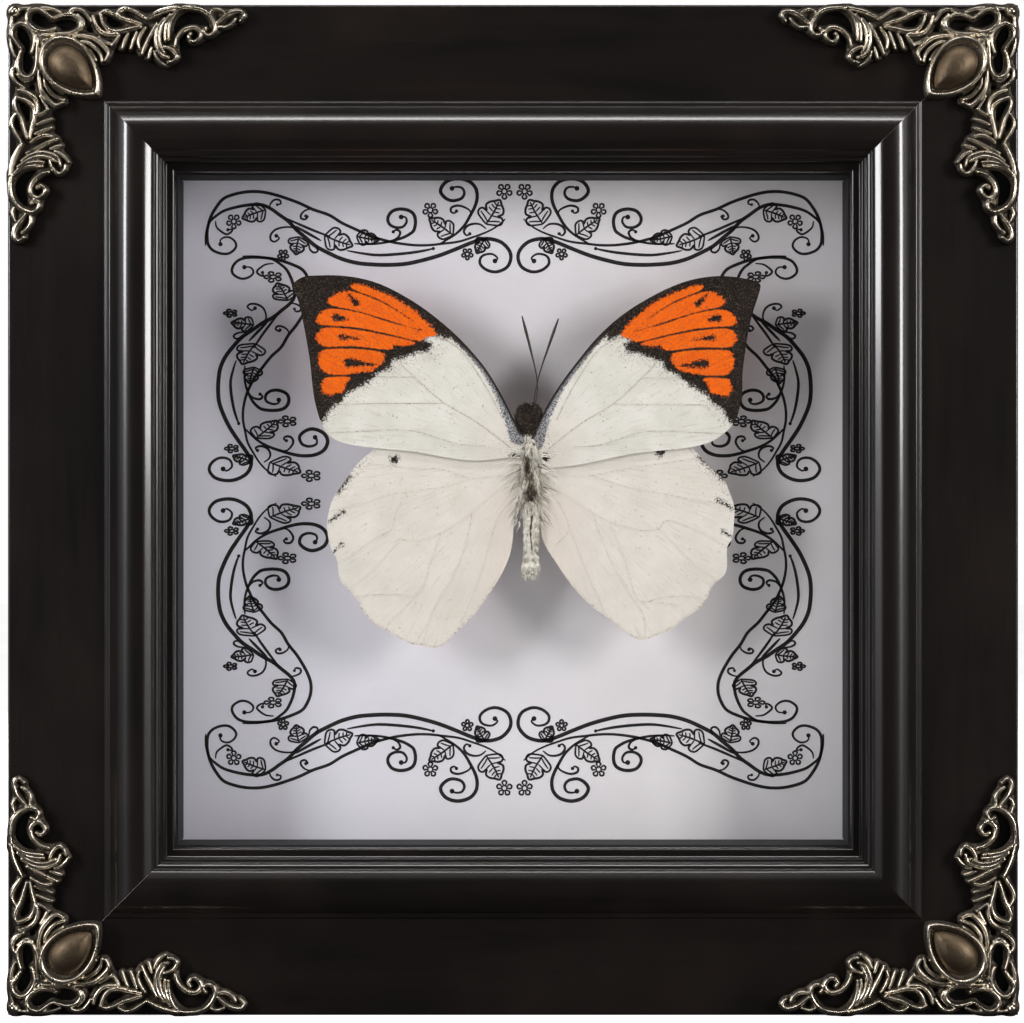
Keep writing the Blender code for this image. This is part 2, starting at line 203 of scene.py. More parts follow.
def grid_solid(x, y, inside, front, back, step):
    """Closed solid over the grid cells where `inside` is positive.

    Rim points slide onto the line where `inside` is zero. Returns the points as (x, y, height),
    the faces, and the index of the used grid points.
    """
    rows, columns = x.shape
    corner_sum = inside[:-1, :-1] + inside[1:, :-1] + inside[:-1, 1:] + inside[1:, 1:]
    cells = corner_sum > 0
    touching = np.zeros((rows, columns), int)
    for down in (0, 1):
        for right in (0, 1):
            touching[down:rows - 1 + down, right:columns - 1 + right] += cells
    used = touching > 0
    rim = used & (touching < 4)
    slope_y, slope_x = np.gradient(inside, step)
    steepness = np.maximum(slope_x ** 2 + slope_y ** 2, 0.25)
    shift = np.where(rim, -inside / steepness, 0.0)
    limit = 0.8 * step
    x = x + np.clip(shift * slope_x, -limit, limit)
    y = y + np.clip(shift * slope_y, -limit, limit)

    number = np.full((rows, columns), -1)
    number[used] = np.arange(used.sum())
    count = int(used.sum())
    points = np.concatenate([
        np.stack([x[used], y[used], front[used]], axis=1),
        np.stack([x[used], y[used], back[used]], axis=1),
    ])
    i, j = np.nonzero(cells)
    quads = np.stack([number[i, j], number[i, j + 1], number[i + 1, j + 1], number[i + 1, j]], axis=1)
    faces = [quads, quads[:, ::-1] + count]
    padded = np.pad(cells, 1)
    for axis in (0, 1):
        before = padded[:-1, 1:-1] if axis == 0 else padded[1:-1, :-1]
        after = padded[1:, 1:-1] if axis == 0 else padded[1:-1, 1:]
        i, j = np.nonzero(before != after)
        start = number[i, j]
        end = number[i, j + 1] if axis == 0 else number[i + 1, j]
        faces.append(np.stack([start, end, end + count, start + count], axis=1))
    return points, np.concatenate(faces).tolist(), used


# Materials --------------------------------------------------------------------------------------

class Paint:
    """One procedural material built on its Principled shader."""

    def __init__(self, name, constants=None):
        self.material = bpy.data.materials.new(name)
        self.material.use_nodes = True
        self.tree = self.material.node_tree
        self.shader = self.tree.nodes["Principled BSDF"]
        for key, value in (constants or {}).items():
            self.shader.inputs[key].default_value = value

    def feed(self, socket, value):
        if isinstance(value, bpy.types.NodeSocket):
            self.tree.links.new(value, socket)
        elif socket.type == "RGBA":
            socket.default_value = (*value, 1.0)
        else:
            socket.default_value = value

    def node(self, kind, inputs=None, **settings):
        made = self.tree.nodes.new("ShaderNode" + kind)
        for key, value in settings.items():
            setattr(made, key, value)
        for key, value in (inputs or {}).items():
            self.feed(made.inputs[key], value)
        return made

    def place(self, stretch=(1, 1, 1), source=None):
        """Object coordinates, or another vector, divided along each axis by `stretch`."""
        source = source or self.node("TexCoord").outputs["Object"]
        scale = [1 / value for value in stretch]
        return self.node("Mapping", {"Vector": source, "Scale": scale}).outputs[0]

    def noise(self, size, detail=3.0, stretch=(1, 1, 1), source=None, unit=MM):
        """Noise from 0 to 1 whose patches are about `size` across."""
        inputs = {"Vector": self.place(stretch, source), "Scale": 1 / (size * unit), "Detail": detail}
        return self.node("TexNoise", inputs).outputs[0]

    def cells(self, size, stretch=(1, 1, 1)):
        inputs = {"Vector": self.place(stretch), "Scale": 1 / (size * MM)}
        return self.node("TexVoronoi", inputs).outputs["Distance"]

    def attribute(self, name, output="Fac"):
        return self.node("Attribute", attribute_name=name).outputs[output]

    def height(self):
        """World y of the surface, in metres."""
        position = self.node("NewGeometry").outputs["Position"]
        return self.node("SeparateXYZ", {0: position}).outputs[1]

    def calc(self, operation, first, second=0.0):
        return self.node("Math", {0: first, 1: second}, operation=operation).outputs[0]

    def step(self, value, low, high):
        """Smooth step from 0 at `low` to 1 at `high`."""
        inputs = {"Value": value, "From Min": low, "From Max": high}
        return self.node("MapRange", inputs, interpolation_type="SMOOTHSTEP").outputs[0]

    def scale(self, value, low, high):
        """Value from 0 to 1 spread over low to high."""
        inputs = {"Value": value, "To Min": low, "To Max": high}
        return self.node("MapRange", inputs).outputs[0]

    def mix(self, factor, first, second):
        return self.node("Mix", {0: factor, 6: first, 7: second}, data_type="RGBA").outputs[2]

    def tint(self, color, mask, share, other):
        """Colour with up to `share` of another over it, where the mask is 1."""
        return self.mix(self.calc("MULTIPLY", mask, share), color, other)

    def ramp(self, factor, stops):
        made = self.node("ValToRGB", {0: factor})
        elements = made.color_ramp.elements
        elements.remove(elements[0])
        elements[0].position = stops[0][0]
        elements[0].color = (*stops[0][1], 1.0)
        for place, color in stops[1:]:
            elements.new(place).color = (*color, 1.0)
        return made.outputs[0]

    def finish(self, color, roughness, height=None, relief=0.0):
        """Feed the shader; `relief` is the bump's depth in millimetres."""
        self.feed(self.shader.inputs["Base Color"], color)
        self.feed(self.shader.inputs["Roughness"], roughness)
        if height is not None:
            bump = self.node("Bump", {"Height": height, "Distance": relief * MM, "Strength": 1.0})
            self.feed(self.shader.inputs["Normal"], bump.outputs[0])
        return self.material


def paint_wood():
    """Near-black espresso stain under satin lacquer, with faint open grain and pale dust flecks."""
    paint = Paint("espresso_lacquer", {"Coat Weight": 0.85, "Coat Roughness": 0.13,
                                       "Specular IOR Level": 0.3})
    grain_place = paint.attribute("grain", "Vector")
    fibres = paint.noise(0.35, 4.0, (30, 1, 1), grain_place, 1.0)
    bands = paint.noise(5.0, 2.0, (9, 1, 1), grain_place, 1.0)
    pores = paint.step(paint.noise(0.22, 1.0, (14, 1, 1), grain_place, 1.0), 0.62, 0.72)
    cloud = paint.noise(26.0, 2.0)
    base = paint.ramp(bands, [(0.3, (0.0036, 0.0028, 0.0024)), (0.72, (0.0078, 0.0050, 0.0040))])
    warm = paint.mix(paint.step(cloud, 0.42, 0.7), base, (0.0092, 0.0060, 0.0048))
    color = paint.tint(warm, pores, 0.6, (0.0022, 0.0018, 0.0016))
    dust = paint.step(paint.noise(0.5, 2.0), 0.74, 0.8)
    color = paint.tint(color, dust, 0.12, (0.16, 0.15, 0.14))
    roughness = paint.calc("ADD", paint.scale(fibres, 0.26, 0.36), paint.calc("MULTIPLY", cloud, 0.06))
    height = paint.calc("SUBTRACT", fibres, paint.calc("MULTIPLY", pores, 0.3))
    return paint.finish(color, roughness, height, 0.007)


def paint_card():
    """Uncoated pale card, faintly cool and mottled, with fine fibres and painted cool light towards its
    left side.
    """
    paint = Paint("uncoated_card", {"Specular IOR Level": 0.2})
    fibre = paint.noise(0.28, 4.0)
    blotch = paint.noise(9.0, 3.0)
    color = paint.ramp(blotch, [(0.3, (0.775, 0.750, 0.770)), (0.7, (0.820, 0.795, 0.810))])
    # Painted cool light: the card turns lavender towards its left side.
    across = paint.node("SeparateXYZ", {0: paint.place()}).outputs[0]
    color = paint.mix(paint.step(across, 0.03, -0.07), color, (0.755, 0.745, 0.840))
    color = paint.tint(color, fibre, 0.3, (0.86, 0.84, 0.86))
    fleck = paint.step(paint.noise(0.4, 1.0), 0.76, 0.82)
    color = paint.tint(color, fleck, 0.25, (0.40, 0.36, 0.34))
    return paint.finish(color, paint.scale(fibre, 0.78, 0.95), fibre, 0.03)


def paint_ink():
    """Matt black printing ink with slightly worn, uneven cover."""
    paint = Paint("black_ink", {"Specular IOR Level": 0.3})
    wear = paint.noise(0.35, 3.0)
    color = paint.ramp(wear, [(0.35, (0.008, 0.007, 0.008)), (0.8, (0.035, 0.032, 0.033))])
    return paint.finish(color, paint.scale(wear, 0.6, 0.85), wear, 0.01)


GLASS_IOR = 1.45


def paint_glass():
    """Clear pane: it lets light through and mirrors at its Fresnel strength."""
    paint = Paint("clear_pane")
    smear = paint.noise(14.0, 2.0, (1, 1, 2))
    clear = paint.node("BsdfTransparent", {"Color": (0.985, 0.985, 0.985)})
    gloss_inputs = {"Color": (0.95, 0.97, 1.0), "Roughness": paint.scale(smear, 0.01, 0.05)}
    gloss = paint.node("BsdfGlossy", gloss_inputs)
    inner_face = paint.node("NewGeometry").outputs["Backfacing"]
    mirror = paint.node("Fresnel", {"IOR": paint.scale(inner_face, GLASS_IOR, 1 / GLASS_IOR)})
    blend = paint.node("MixShader", {0: mirror.outputs[0], 1: clear.outputs[0], 2: gloss.outputs[0]})
    output = paint.tree.nodes["Material Output"]
    paint.feed(output.inputs["Surface"], blend.outputs[0])
    return paint.material


def paint_foam():
    """Matt black foam board with a fine open surface."""
    paint = Paint("black_foam_board")
    grit = paint.noise(0.3, 3.0)
    color = paint.ramp(grit, [(0.3, (0.010, 0.010, 0.011)), (0.8, (0.032, 0.031, 0.032))])
    return paint.finish(color, paint.scale(grit, 0.8, 0.95), paint.cells(0.35), 0.05)


def paint_hardboard():
    """Brown hardboard: pressed fibres, darker blotches and scuffs."""
    paint = Paint("brown_hardboard", {"Specular IOR Level": 0.3})
    fibre = paint.noise(0.6, 5.0, (3, 1, 1))
    blotch = paint.noise(22.0, 3.0)
    color = paint.ramp(blotch, [(0.3, (0.115, 0.062, 0.034)), (0.75, (0.205, 0.118, 0.066))])
    color = paint.tint(color, fibre, 0.6, (0.30, 0.19, 0.115))
    return paint.finish(color, paint.scale(fibre, 0.55, 0.8), fibre, 0.06)


def paint_zinc():
    """Zinc-plated steel with fine rolling lines and grey spangle."""
    paint = Paint("zinc_plated_steel", {"Metallic": 1.0})
    lines = paint.noise(0.15, 2.0, (30, 1, 1))
    spangle = paint.cells(1.6)
    color = paint.ramp(spangle, [(0.1, (0.50, 0.51, 0.53)), (0.7, (0.66, 0.66, 0.65))])
    return paint.finish(color, paint.scale(lines, 0.28, 0.46), lines, 0.01)


def paint_cork():
    """Light cork with dark grains."""
    paint = Paint("light_cork")
    grain = paint.cells(0.9)
    color = paint.ramp(grain, [(0.1, (0.20, 0.11, 0.055)), (0.6, (0.48, 0.32, 0.18))])
    return paint.finish(color, paint.scale(grain, 0.8, 0.95), grain, 0.15)


def paint_casting(name, low_color, high_color, dark_depth, bright_depth, polish):
    """Antiqued casting: dark patina low down, rubbed bright on the raised parts."""
    paint = Paint(name, {"Metallic": 1.0})
    raised = paint.step(paint.height(), (ORNAMENT_Y - dark_depth) * MM, (ORNAMENT_Y - bright_depth) * MM)
    pitting = paint.noise(0.35, 3.0)
    stain = paint.noise(1.6, 4.0)
    rubbed = paint.calc("MULTIPLY", raised, paint.scale(stain, 0.35, 1.45))
    rubbed = paint.calc("MULTIPLY", rubbed, paint.scale(pitting, 0.55, 1.35))
    color = paint.mix(rubbed, low_color, high_color)
    roughness = paint.calc("SUBTRACT", 0.58, paint.calc("MULTIPLY", rubbed, polish))
    return paint.finish(color, roughness, pitting, 0.03)


def paint_wings():
    """Scaled membrane: cream white, orange cells between black veins, grey base and specks."""
    paint = Paint("wing_scales", {"Specular IOR Level": 0.12})
    fine = paint.noise(0.16, 2.0)
    grains = paint.noise(0.5, 3.0)
    soft = paint.noise(5.0, 2.0)
    rays = paint.noise(1.0, 2.0, (1, 1, 1), paint.attribute("rays", "Vector"), 1.0)
    jitter = paint.calc("SUBTRACT", paint.calc("ADD", fine, grains), 1.0)

    white = paint.ramp(soft, [(0.3, (0.690, 0.677, 0.603)), (0.7, (0.790, 0.772, 0.712))])
    white = paint.mix(paint.step(rays, 0.52, 0.85), white, (0.60, 0.565, 0.50))
    white = paint.tint(white, paint.step(fine, 0.52, 0.75), 0.5, (0.60, 0.58, 0.52))
    crumbs = paint.step(paint.noise(0.45, 1.0), 0.70, 0.76)
    white = paint.tint(white, crumbs, 0.7, (0.22, 0.19, 0.15))
    color = paint.mix(paint.attribute("warm"), white, (0.71, 0.625, 0.56))
    vein = paint.attribute("vein")
    line = paint.step(paint.calc("ADD", vein, paint.calc("MULTIPLY", jitter, 0.30)), 0.17, 0.02)
    shade = paint.step(vein, 0.7, 0.05)
    color = paint.tint(color, shade, 0.16, (0.55, 0.50, 0.43))
    color = paint.tint(color, line, paint.scale(soft, 0.0, 1.1), (0.22, 0.18, 0.13))

    def edge(name, roughen, width, grow=0.0):
        value = paint.calc("ADD", paint.attribute(name), paint.calc("MULTIPLY", jitter, roughen))
        return paint.step(value, -width - grow, width - grow)

    grey = paint.attribute("grey")
    speckle = paint.noise(0.28, 2.0)
    grey_tone = paint.ramp(speckle, [(0.42, (0.07, 0.07, 0.075)), (0.58, (0.42, 0.42, 0.44))])
    dark_tone = paint.ramp(grains, [(0.35, (0.010, 0.007, 0.0055)), (0.8, (0.026, 0.018, 0.013))])
    dark_tone = paint.mix(grey, dark_tone, grey_tone)
    color = paint.mix(edge("dark", 2.4, 0.30), color, dark_tone)
    orange_tone = paint.ramp(rays, [(0.25, (0.84, 0.115, 0.0010)), (0.75, (0.95, 0.170, 0.0025))])
    orange_tone = paint.mix(paint.step(fine, 0.5, 0.8), orange_tone, (0.74, 0.090, 0.001))
    ragged = paint.scale(paint.step(vein, 0.3, 1.0), 0.35, 1.7)
    color = paint.mix(edge("orange", ragged, 0.12, 0.06), color, orange_tone)
    specks = paint.calc("MULTIPLY", paint.attribute("specks"), paint.step(speckle, 0.54, 0.64))
    color = paint.mix(specks, color, (0.13, 0.10, 0.075))
    height = paint.calc("ADD", fine, paint.calc("MULTIPLY", rays, 2.2))
    return paint.finish(color, paint.scale(fine, 0.6, 0.85), height, 0.045)


def paint_fur():
    """Dry hair whose tone runs from dark brown (0) through olive grey to cream (1)."""
    paint = Paint("body_hair", {"Specular IOR Level": 0.25, "Sheen Weight": 0.2})
    tone = paint.calc("ADD", paint.attribute("tone"), paint.calc("SUBTRACT", paint.noise(0.6), 0.5))
    color = paint.ramp(tone, [
        (0.0, (0.020, 0.012, 0.008)), (0.3, (0.095, 0.060, 0.038)), (0.55, (0.32, 0.29, 0.235)),
        (0.8, (0.66, 0.63, 0.55)), (1.0, (0.88, 0.85, 0.77)),
    ])
    return paint.finish(color, paint.scale(paint.noise(0.3), 0.55, 0.8), paint.noise(0.2), 0.03)


def paint_horn():
    """Brown-black horny surface of the antennae and eyes."""
    paint = Paint("dark_horn", {"Coat Weight": 0.2})
    rings = paint.noise(0.25, 2.0, (4, 4, 1))
    color = paint.ramp(rings, [(0.35, (0.012, 0.009, 0.008)), (0.75, (0.060, 0.042, 0.032))])
    return paint.finish(color, paint.scale(rings, 0.35, 0.6), rings, 0.02)


wood = paint_wood()
card_paper = paint_card()
ink = paint_ink()
glass = paint_glass()
foam = paint_foam()
hardboard = paint_hardboard()
zinc = paint_zinc()
cork = paint_cork()
cast_metal = paint_casting("antiqued_silver_bronze", (0.026, 0.019, 0.014), (0.68, 0.61, 0.50),
                           0.75, 2.1, 0.32)
dome_metal = paint_casting("burnished_dome", (0.045, 0.032, 0.021), (0.165, 0.122, 0.080), 2.2, 3.6, 0.05)
wing_scales = paint_wings()
hair = paint_fur()
horn = paint_horn()


# Frame ------------------------------------------------------------------------------------------

# Rail section as (inset, depth, rounding), round the wood from its outer back edge
RAIL_SECTION = [
    (0.4, 0.0, 0.1), (0.0, 0.4, 0.1), (0.0, 30.0, 0.55), (19.15, 30.0, 0.1),
    (19.35, 30.5, 0.2), (20.3, 30.7, 0.15), (20.5, 31.2, 0.2), (21.8, 32.6, 0.7),
    (23.7, 33.75, 0.9), (25.2, 34.0, 0.5), (27.0, 34.0, 0.6), (28.9, 32.9, 0.5),
    (29.1, 32.4, 0.12), (29.6, 32.3, 0.2),
    (30.15, 31.9, 0.3), (30.35, 31.2, 0.15), (31.05, 31.1, 0.2), (31.15, 30.5, 0.1),
    (31.15, 28.6, 0.05), (31.35, 28.45, 0.05), (32.65, 28.45, 0.3), (33.0, 27.9, 0.2),
    (33.0, 26.5, 0.05), (27.0, 26.5, 0.1), (27.0, 0.4, 0.1), (26.6, 0.0, 0.1),
]
ROUNDING_STEPS = 4
MITRE_GAP = 0.004
RAIL_STATIONS = 9
# Keeps each rail's grain apart from the others'
GRAIN_SHIFT = 300


def rounded_section(corners):
    """Closed outline with each corner turned into a short curve."""
    outline = []
    count = len(corners)
    for number, (*corner, rounding) in enumerate(corners):
        corner = np.array(corner)
        before = np.array(corners[number - 1][:2]) - corner
        after = np.array(corners[(number + 1) % count][:2]) - corner
        start = corner + before / np.linalg.norm(before) * rounding
        end = corner + after / np.linalg.norm(after) * rounding
        for step in range(ROUNDING_STEPS + 1):
            t = step / ROUNDING_STEPS
            outline.append((1 - t) ** 2 * start + 2 * t * (1 - t) * corner + t * t * end)
    return outline


def side_point(side, along, inset):
    """(x, z) of a point on one side of the frame, from its place along and in from that side."""
    reach = HALF_SIDE - inset
    return {
        "top": (along, MIDDLE_Z + reach),
        "bottom": (along, MIDDLE_Z - reach),
        "left": (-reach, MIDDLE_Z + along),
        "right": (reach, MIDDLE_Z + along),
    }[side]


def make_rails():
    section = rounded_section(RAIL_SECTION)
    faces = tube_faces(RAIL_STATIONS, len(section))
    for number, side in enumerate(("top", "bottom", "left", "right")):
        points = []
        grain = []
        for station in np.linspace(-1, 1, RAIL_STATIONS):
            for inset, depth in section:
                along = station * (HALF_SIDE - inset - MITRE_GAP)
                x, z = side_point(side, along, inset)
                points.append((x, BACK_Y - depth, z))
                grain.append((along + GRAIN_SHIFT * number, inset, depth))
        make_piece(f"moulded_rail_{side}", points, faces, wood, (f"rail_{side}",),
                   sharp=50, vectors={"grain": grain})


def finish_cad_nodes():
    """Better materials on the CAD nodes that stay."""
    materials = {
        "glass_pane": glass, "backing_card": card_paper, "back_panel": hardboard,
        "mounting_pad": cork, "sawtooth_hanger": zinc, "hanger_nail_left": zinc,
        "hanger_nail_right": zinc,
    }
    for side in ("top", "bottom", "left", "right"):
        materials[f"spacer_{side}"] = foam
        for number in (1, 2):
            materials[f"retaining_tab_{side}_{number}"] = zinc
    for name, material in materials.items():
        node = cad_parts[name]
        node.data.materials.clear()
        node.data.materials.append(material)


# Printed border ---------------------------------------------------------------------------------

# The border is one motif, repeated eight times. Its strokes are (thin, thick, points): half
# widths at the ends and in the middle, and points along a side and across it from its outer edge.
PRINT_CENTRE = (0.3, 104.1)
PRINT_HALF = (62.65, 62.95)
INK_HEIGHT = 0.04
INK_SINK = 0.01
INK_SPREAD = 1.25
DOT_SEGMENTS = 14
# The motif turned to run up the card: (start, scale) of where across and along end up
UPRIGHT_ACROSS = (24.68, -1.268)
UPRIGHT_ALONG = (15.58, 0.735)
INK_STROKES = [
    (0.10, 0.26, [(3.1, 13.1), (3.1, 12.4), (3.7, 11.9), (4.8, 11.8), (5.9, 12.5), (6.3, 13.5),
                  (5.8, 14.4), (4.7, 15.1), (3.2, 15.1), (1.5, 14.4), (0.6, 13.2), (0.4, 11.7),
                  (0.5, 10.0), (1.1, 7.8), (2.2, 5.8), (3.7, 4.0), (5.9, 3.1), (8.5, 2.6),
                  (11.2, 2.6), (13.8, 3.1), (16.4, 3.9), (19.1, 4.9), (21.9, 6.2), (25.1, 7.3),
                  (27.7, 8.9), (30.7, 10.3), (33.6, 11.6), (36.3, 12.4), (39.0, 13.0),
                  (42.4, 13.4), (45.4, 13.4), (48.1, 13.1), (51.3, 12.7), (54.2, 11.8),
                  (56.9, 10.8), (59.1, 9.6), (60.8, 8.1)]),
    (0.10, 0.33, [(0.1, 13.5), (0.1, 11.7), (0.4, 10.0), (1.0, 8.6), (2.2, 7.5), (3.7, 6.5),
                  (5.9, 5.8), (8.5, 5.3), (11.2, 5.2), (13.1, 5.9), (15.1, 7.3), (16.9, 8.6),
                  (18.6, 10.4), (20.4, 11.9), (22.4, 13.6), (25.0, 15.0), (27.7, 16.2),
                  (30.7, 17.0), (33.6, 17.3), (37.0, 17.4), (40.5, 17.2), (43.9, 16.5),
                  (47.4, 15.5), (50.8, 14.2), (53.7, 13.0), (56.2, 12.2), (58.1, 12.2),
                  (60.1, 12.9), (61.6, 14.5), (61.9, 16.2), (61.1, 17.9), (59.1, 18.8),
                  (57.2, 18.5), (55.8, 17.4), (55.7, 16.2), (56.5, 15.4), (58.1, 15.2),
                  (59.2, 16.0), (58.8, 16.6)]),
    (0.08, 0.22, [(16.0, 7.8), (19.1, 9.2), (22.4, 10.6), (25.4, 11.7)]),
    (0.08, 0.24, [(18.2, 9.5), (20.8, 11.0), (23.5, 12.5)]),
    (0.10, 0.28, [(30.2, 13.1), (33.1, 13.2), (35.6, 13.0), (38.0, 12.5), (40.0, 11.9),
                  (41.5, 11.1), (42.3, 10.3), (42.6, 8.6), (42.2, 7.1), (41.0, 6.3), (39.3, 6.1),
                  (37.8, 6.6), (37.0, 7.9), (37.3, 9.1), (38.5, 9.8), (40.0, 9.7), (40.8, 8.7),
                  (40.6, 7.8), (39.8, 7.6)]),
    (0.08, 0.24, [(28.7, 14.5), (31.4, 15.0), (34.6, 15.4), (38.0, 15.3), (42.0, 14.9),
                  (44.9, 14.4), (46.1, 14.1)]),
    (0.08, 0.20, [(38.0, 12.4), (39.1, 11.8), (39.5, 10.8), (38.8, 10.3), (38.0, 10.7)]),
    (0.10, 0.30, [(47.1, 13.4), (48.8, 12.4), (50.8, 11.1), (52.5, 9.4), (53.7, 7.4), (54.7, 5.4),
                  (55.1, 3.7), (54.8, 1.9), (53.5, 0.5), (51.3, -0.1), (49.3, 0.3), (48.1, 1.3),
                  (47.7, 2.6), (48.6, 3.8), (50.0, 4.4), (51.8, 4.0), (52.5, 2.9), (52.0, 1.8),
                  (50.8, 1.6), (50.0, 1.9)]),
    (0.08, 0.20, [(53.9, 7.3), (53.5, 6.3), (52.2, 5.6), (51.0, 5.4), (49.9, 5.8), (49.8, 6.6),
                  (50.5, 6.9), (50.9, 6.5)]),
    (0.08, 0.20, [(56.9, 10.1), (55.7, 9.2), (54.2, 9.1), (53.0, 9.6), (52.4, 10.6), (52.9, 11.4),
                  (53.6, 11.2)]),
    (0.08, 0.18, [(2.1, 8.5), (2.3, 9.7), (3.2, 10.6), (4.3, 11.2), (5.2, 10.8), (5.5, 10.2),
                  (4.6, 10.3)]),
    (0.08, 0.18, [(21.6, 6.1), (20.4, 6.3), (19.5, 7.1), (19.4, 7.9), (20.2, 8.2), (20.8, 7.6),
                  (20.4, 7.4)]),
    (0.08, 0.18, [(18.8, 10.4), (17.5, 9.8), (15.8, 9.8), (14.2, 10.3), (13.3, 11.3), (13.3, 12.3),
                  (14.1, 12.7), (15.0, 12.0), (14.4, 11.5)]),
    (0.08, 0.18, [(13.0, 5.8), (13.3, 4.9), (14.1, 4.2), (15.1, 4.3), (15.3, 5.0), (14.6, 5.2)]),
    (0.08, 0.18, [(21.0, 13.0), (21.2, 14.2), (22.0, 14.9), (22.8, 14.6), (22.6, 13.9)]),
]
INK_DOTS = [
    (3.1, 13.2, 0.45), (58.7, 16.6, 0.5), (39.7, 7.7, 0.5), (50.0, 1.9, 0.5), (50.9, 6.5, 0.35),
    (53.6, 11.1, 0.35), (4.6, 10.3, 0.35), (20.4, 7.5, 0.35), (14.4, 11.5, 0.4), (38.1, 10.7, 0.35),
    (14.6, 5.2, 0.3), (22.6, 13.9, 0.3), (46.2, 14.1, 0.35),
]
# Leaves: (along, across, length, width, direction in degrees). Buds: (along, across, size)
INK_LEAVES = [
    (9.9, 7.1, 5.0, 3.8, 160), (18.7, 13.5, 3.6, 3.9, 100), (27.0, 12.5, 6.0, 4.6, 20),
    (32.9, 12.0, 4.5, 3.0, 10), (47.8, 9.7, 5.8, 4.0, 215), (58.3, 6.7, 5.6, 5.4, 300),
    (55.9, 13.5, 3.5, 3.0, 120),
]
INK_BUDS = [(5.8, 8.6, 2.9), (15.8, 15.4, 2.2), (45.6, 6.3, 3.0), (60.6, 2.5, 3.1), (53.1, 15.2, 2.3)]
# Half of a leaf's outline as (ahead, aside), and a petal as (outward, aside), in shares of its size
LEAF_HALF = [(0.0, 0.0), (0.08, 0.22), (0.20, 0.46), (0.36, 0.50), (0.46, 0.40), (0.44, 0.24),
             (0.60, 0.36), (0.76, 0.30), (0.88, 0.15), (1.0, 0.0)]
LEAF_VEINS = (0.36, 0.52, 0.66, 0.78)
PETAL = [(0.2, 0.05), (0.38, 0.15), (0.5, 0.0), (0.38, -0.15), (0.2, -0.05)]
PETALS = 5


def leaf_strokes(along, across, length, width, direction):
    """Outline of a three-lobed leaf, its midrib and its side veins."""
    forward = direction_of(math.radians(direction))
    sideways = np.array([-forward[1], forward[0]])
    base = np.array([along, across]) - forward * length / 2

    def local(ahead, aside):
        return base + forward * ahead * length + sideways * aside * width

    edge = [local(*point) for point in LEAF_HALF]
    edge += [local(ahead, -aside) for ahead, aside in reversed(LEAF_HALF[:-1])]
    strokes = [(0.13, 0.19, edge), (0.10, 0.16, [local(0.0, 0.0), local(0.5, 0.03), local(0.92, 0.0)])]
    for sign in (-1, 1):
        strokes.append((0.08, 0.13, [local(0.1, 0.0), local(0.22, 0.2 * sign), local(0.32, 0.42 * sign)]))
        for ahead in LEAF_VEINS:
            reach = 0.28 * (1.15 - ahead) + 0.06
            strokes.append((0.08, 0.12, [local(ahead, 0.02 * sign), local(ahead + 0.07, reach * sign)]))
    return strokes


def bud_strokes(along, across, size):
    """A ring with five small petals round it."""
    centre = np.array([along, across])
    ring = [centre + 0.17 * size * direction_of(angle) for angle in np.linspace(0, math.tau, 13)]
    strokes = [(0.13, 0.13, ring)]
    for number in range(PETALS):
        outward = direction_of(math.tau * number / PETALS + 0.3)
        sideways = np.array([-outward[1], outward[0]])
        petal = [centre + size * (out * outward + aside * sideways) for out, aside in PETAL]
        strokes.append((0.10, 0.16, petal))
    return strokes


def print_place(upright, flip_x, flip_z):
    """Function from motif coordinates to (x, z) on the card."""
    def place(points):
        along, across = np.asarray(points, float).T
        if upright:
            along, across = (UPRIGHT_ACROSS[0] + UPRIGHT_ACROSS[1] * across,
                             UPRIGHT_ALONG[0] + UPRIGHT_ALONG[1] * along)
        x = PRINT_CENTRE[0] + flip_x * (PRINT_HALF[0] - along)
        z = PRINT_CENTRE[1] + flip_z * (PRINT_HALF[1] - across)
        return np.stack([x, z], axis=1)
    return place


def make_print():
    strokes = list(INK_STROKES)
    for leaf in INK_LEAVES:
        strokes += leaf_strokes(*leaf)
    for bud in INK_BUDS:
        strokes += bud_strokes(*bud)
    points = []
    faces = []
    back = CARD_Y + INK_SINK
    front = CARD_Y - INK_HEIGHT

    def add_stroke(place, thin, thick, route):
        curve = place(smooth_curve(route))
        swell = np.sin(np.linspace(0, math.pi, len(curve))) ** 0.6
        half = INK_SPREAD * (thin + (thick - thin) * swell)[:, None]
        tangent = np.gradient(curve, axis=0)
        tangent /= np.maximum(np.linalg.norm(tangent, axis=1), 1e-9)[:, None]
        normal = tangent[:, ::-1] * (-1, 1)
        faces.extend(tube_faces(len(curve), 4, len(points)))
        for a, b in zip(curve + normal * half, curve - normal * half):
            points.extend([(a[0], front, a[1]), (b[0], front, b[1]),
                           (b[0], back, b[1]), (a[0], back, a[1])])

    def add_dot(place, along, across, radius):
        centre = place([(along, across)])[0]
        faces.extend(tube_faces(2, DOT_SEGMENTS, len(points)))
        rim = [centre + radius * direction_of(math.tau * number / DOT_SEGMENTS)
               for number in range(DOT_SEGMENTS)]
        points.extend((x, y, z) for y in (front, back) for x, z in rim)

    for upright in (False, True):
        for flip_x in (-1, 1):
            for flip_z in (-1, 1):
                place = print_place(upright, flip_x, flip_z)
                for stroke in strokes:
                    add_stroke(place, *stroke)
                for dot in INK_DOTS:
                    add_dot(place, *dot)
    make_piece("printed_border", points, faces, ink, sharp=30)


# Corner ornaments -------------------------------------------------------------------------------

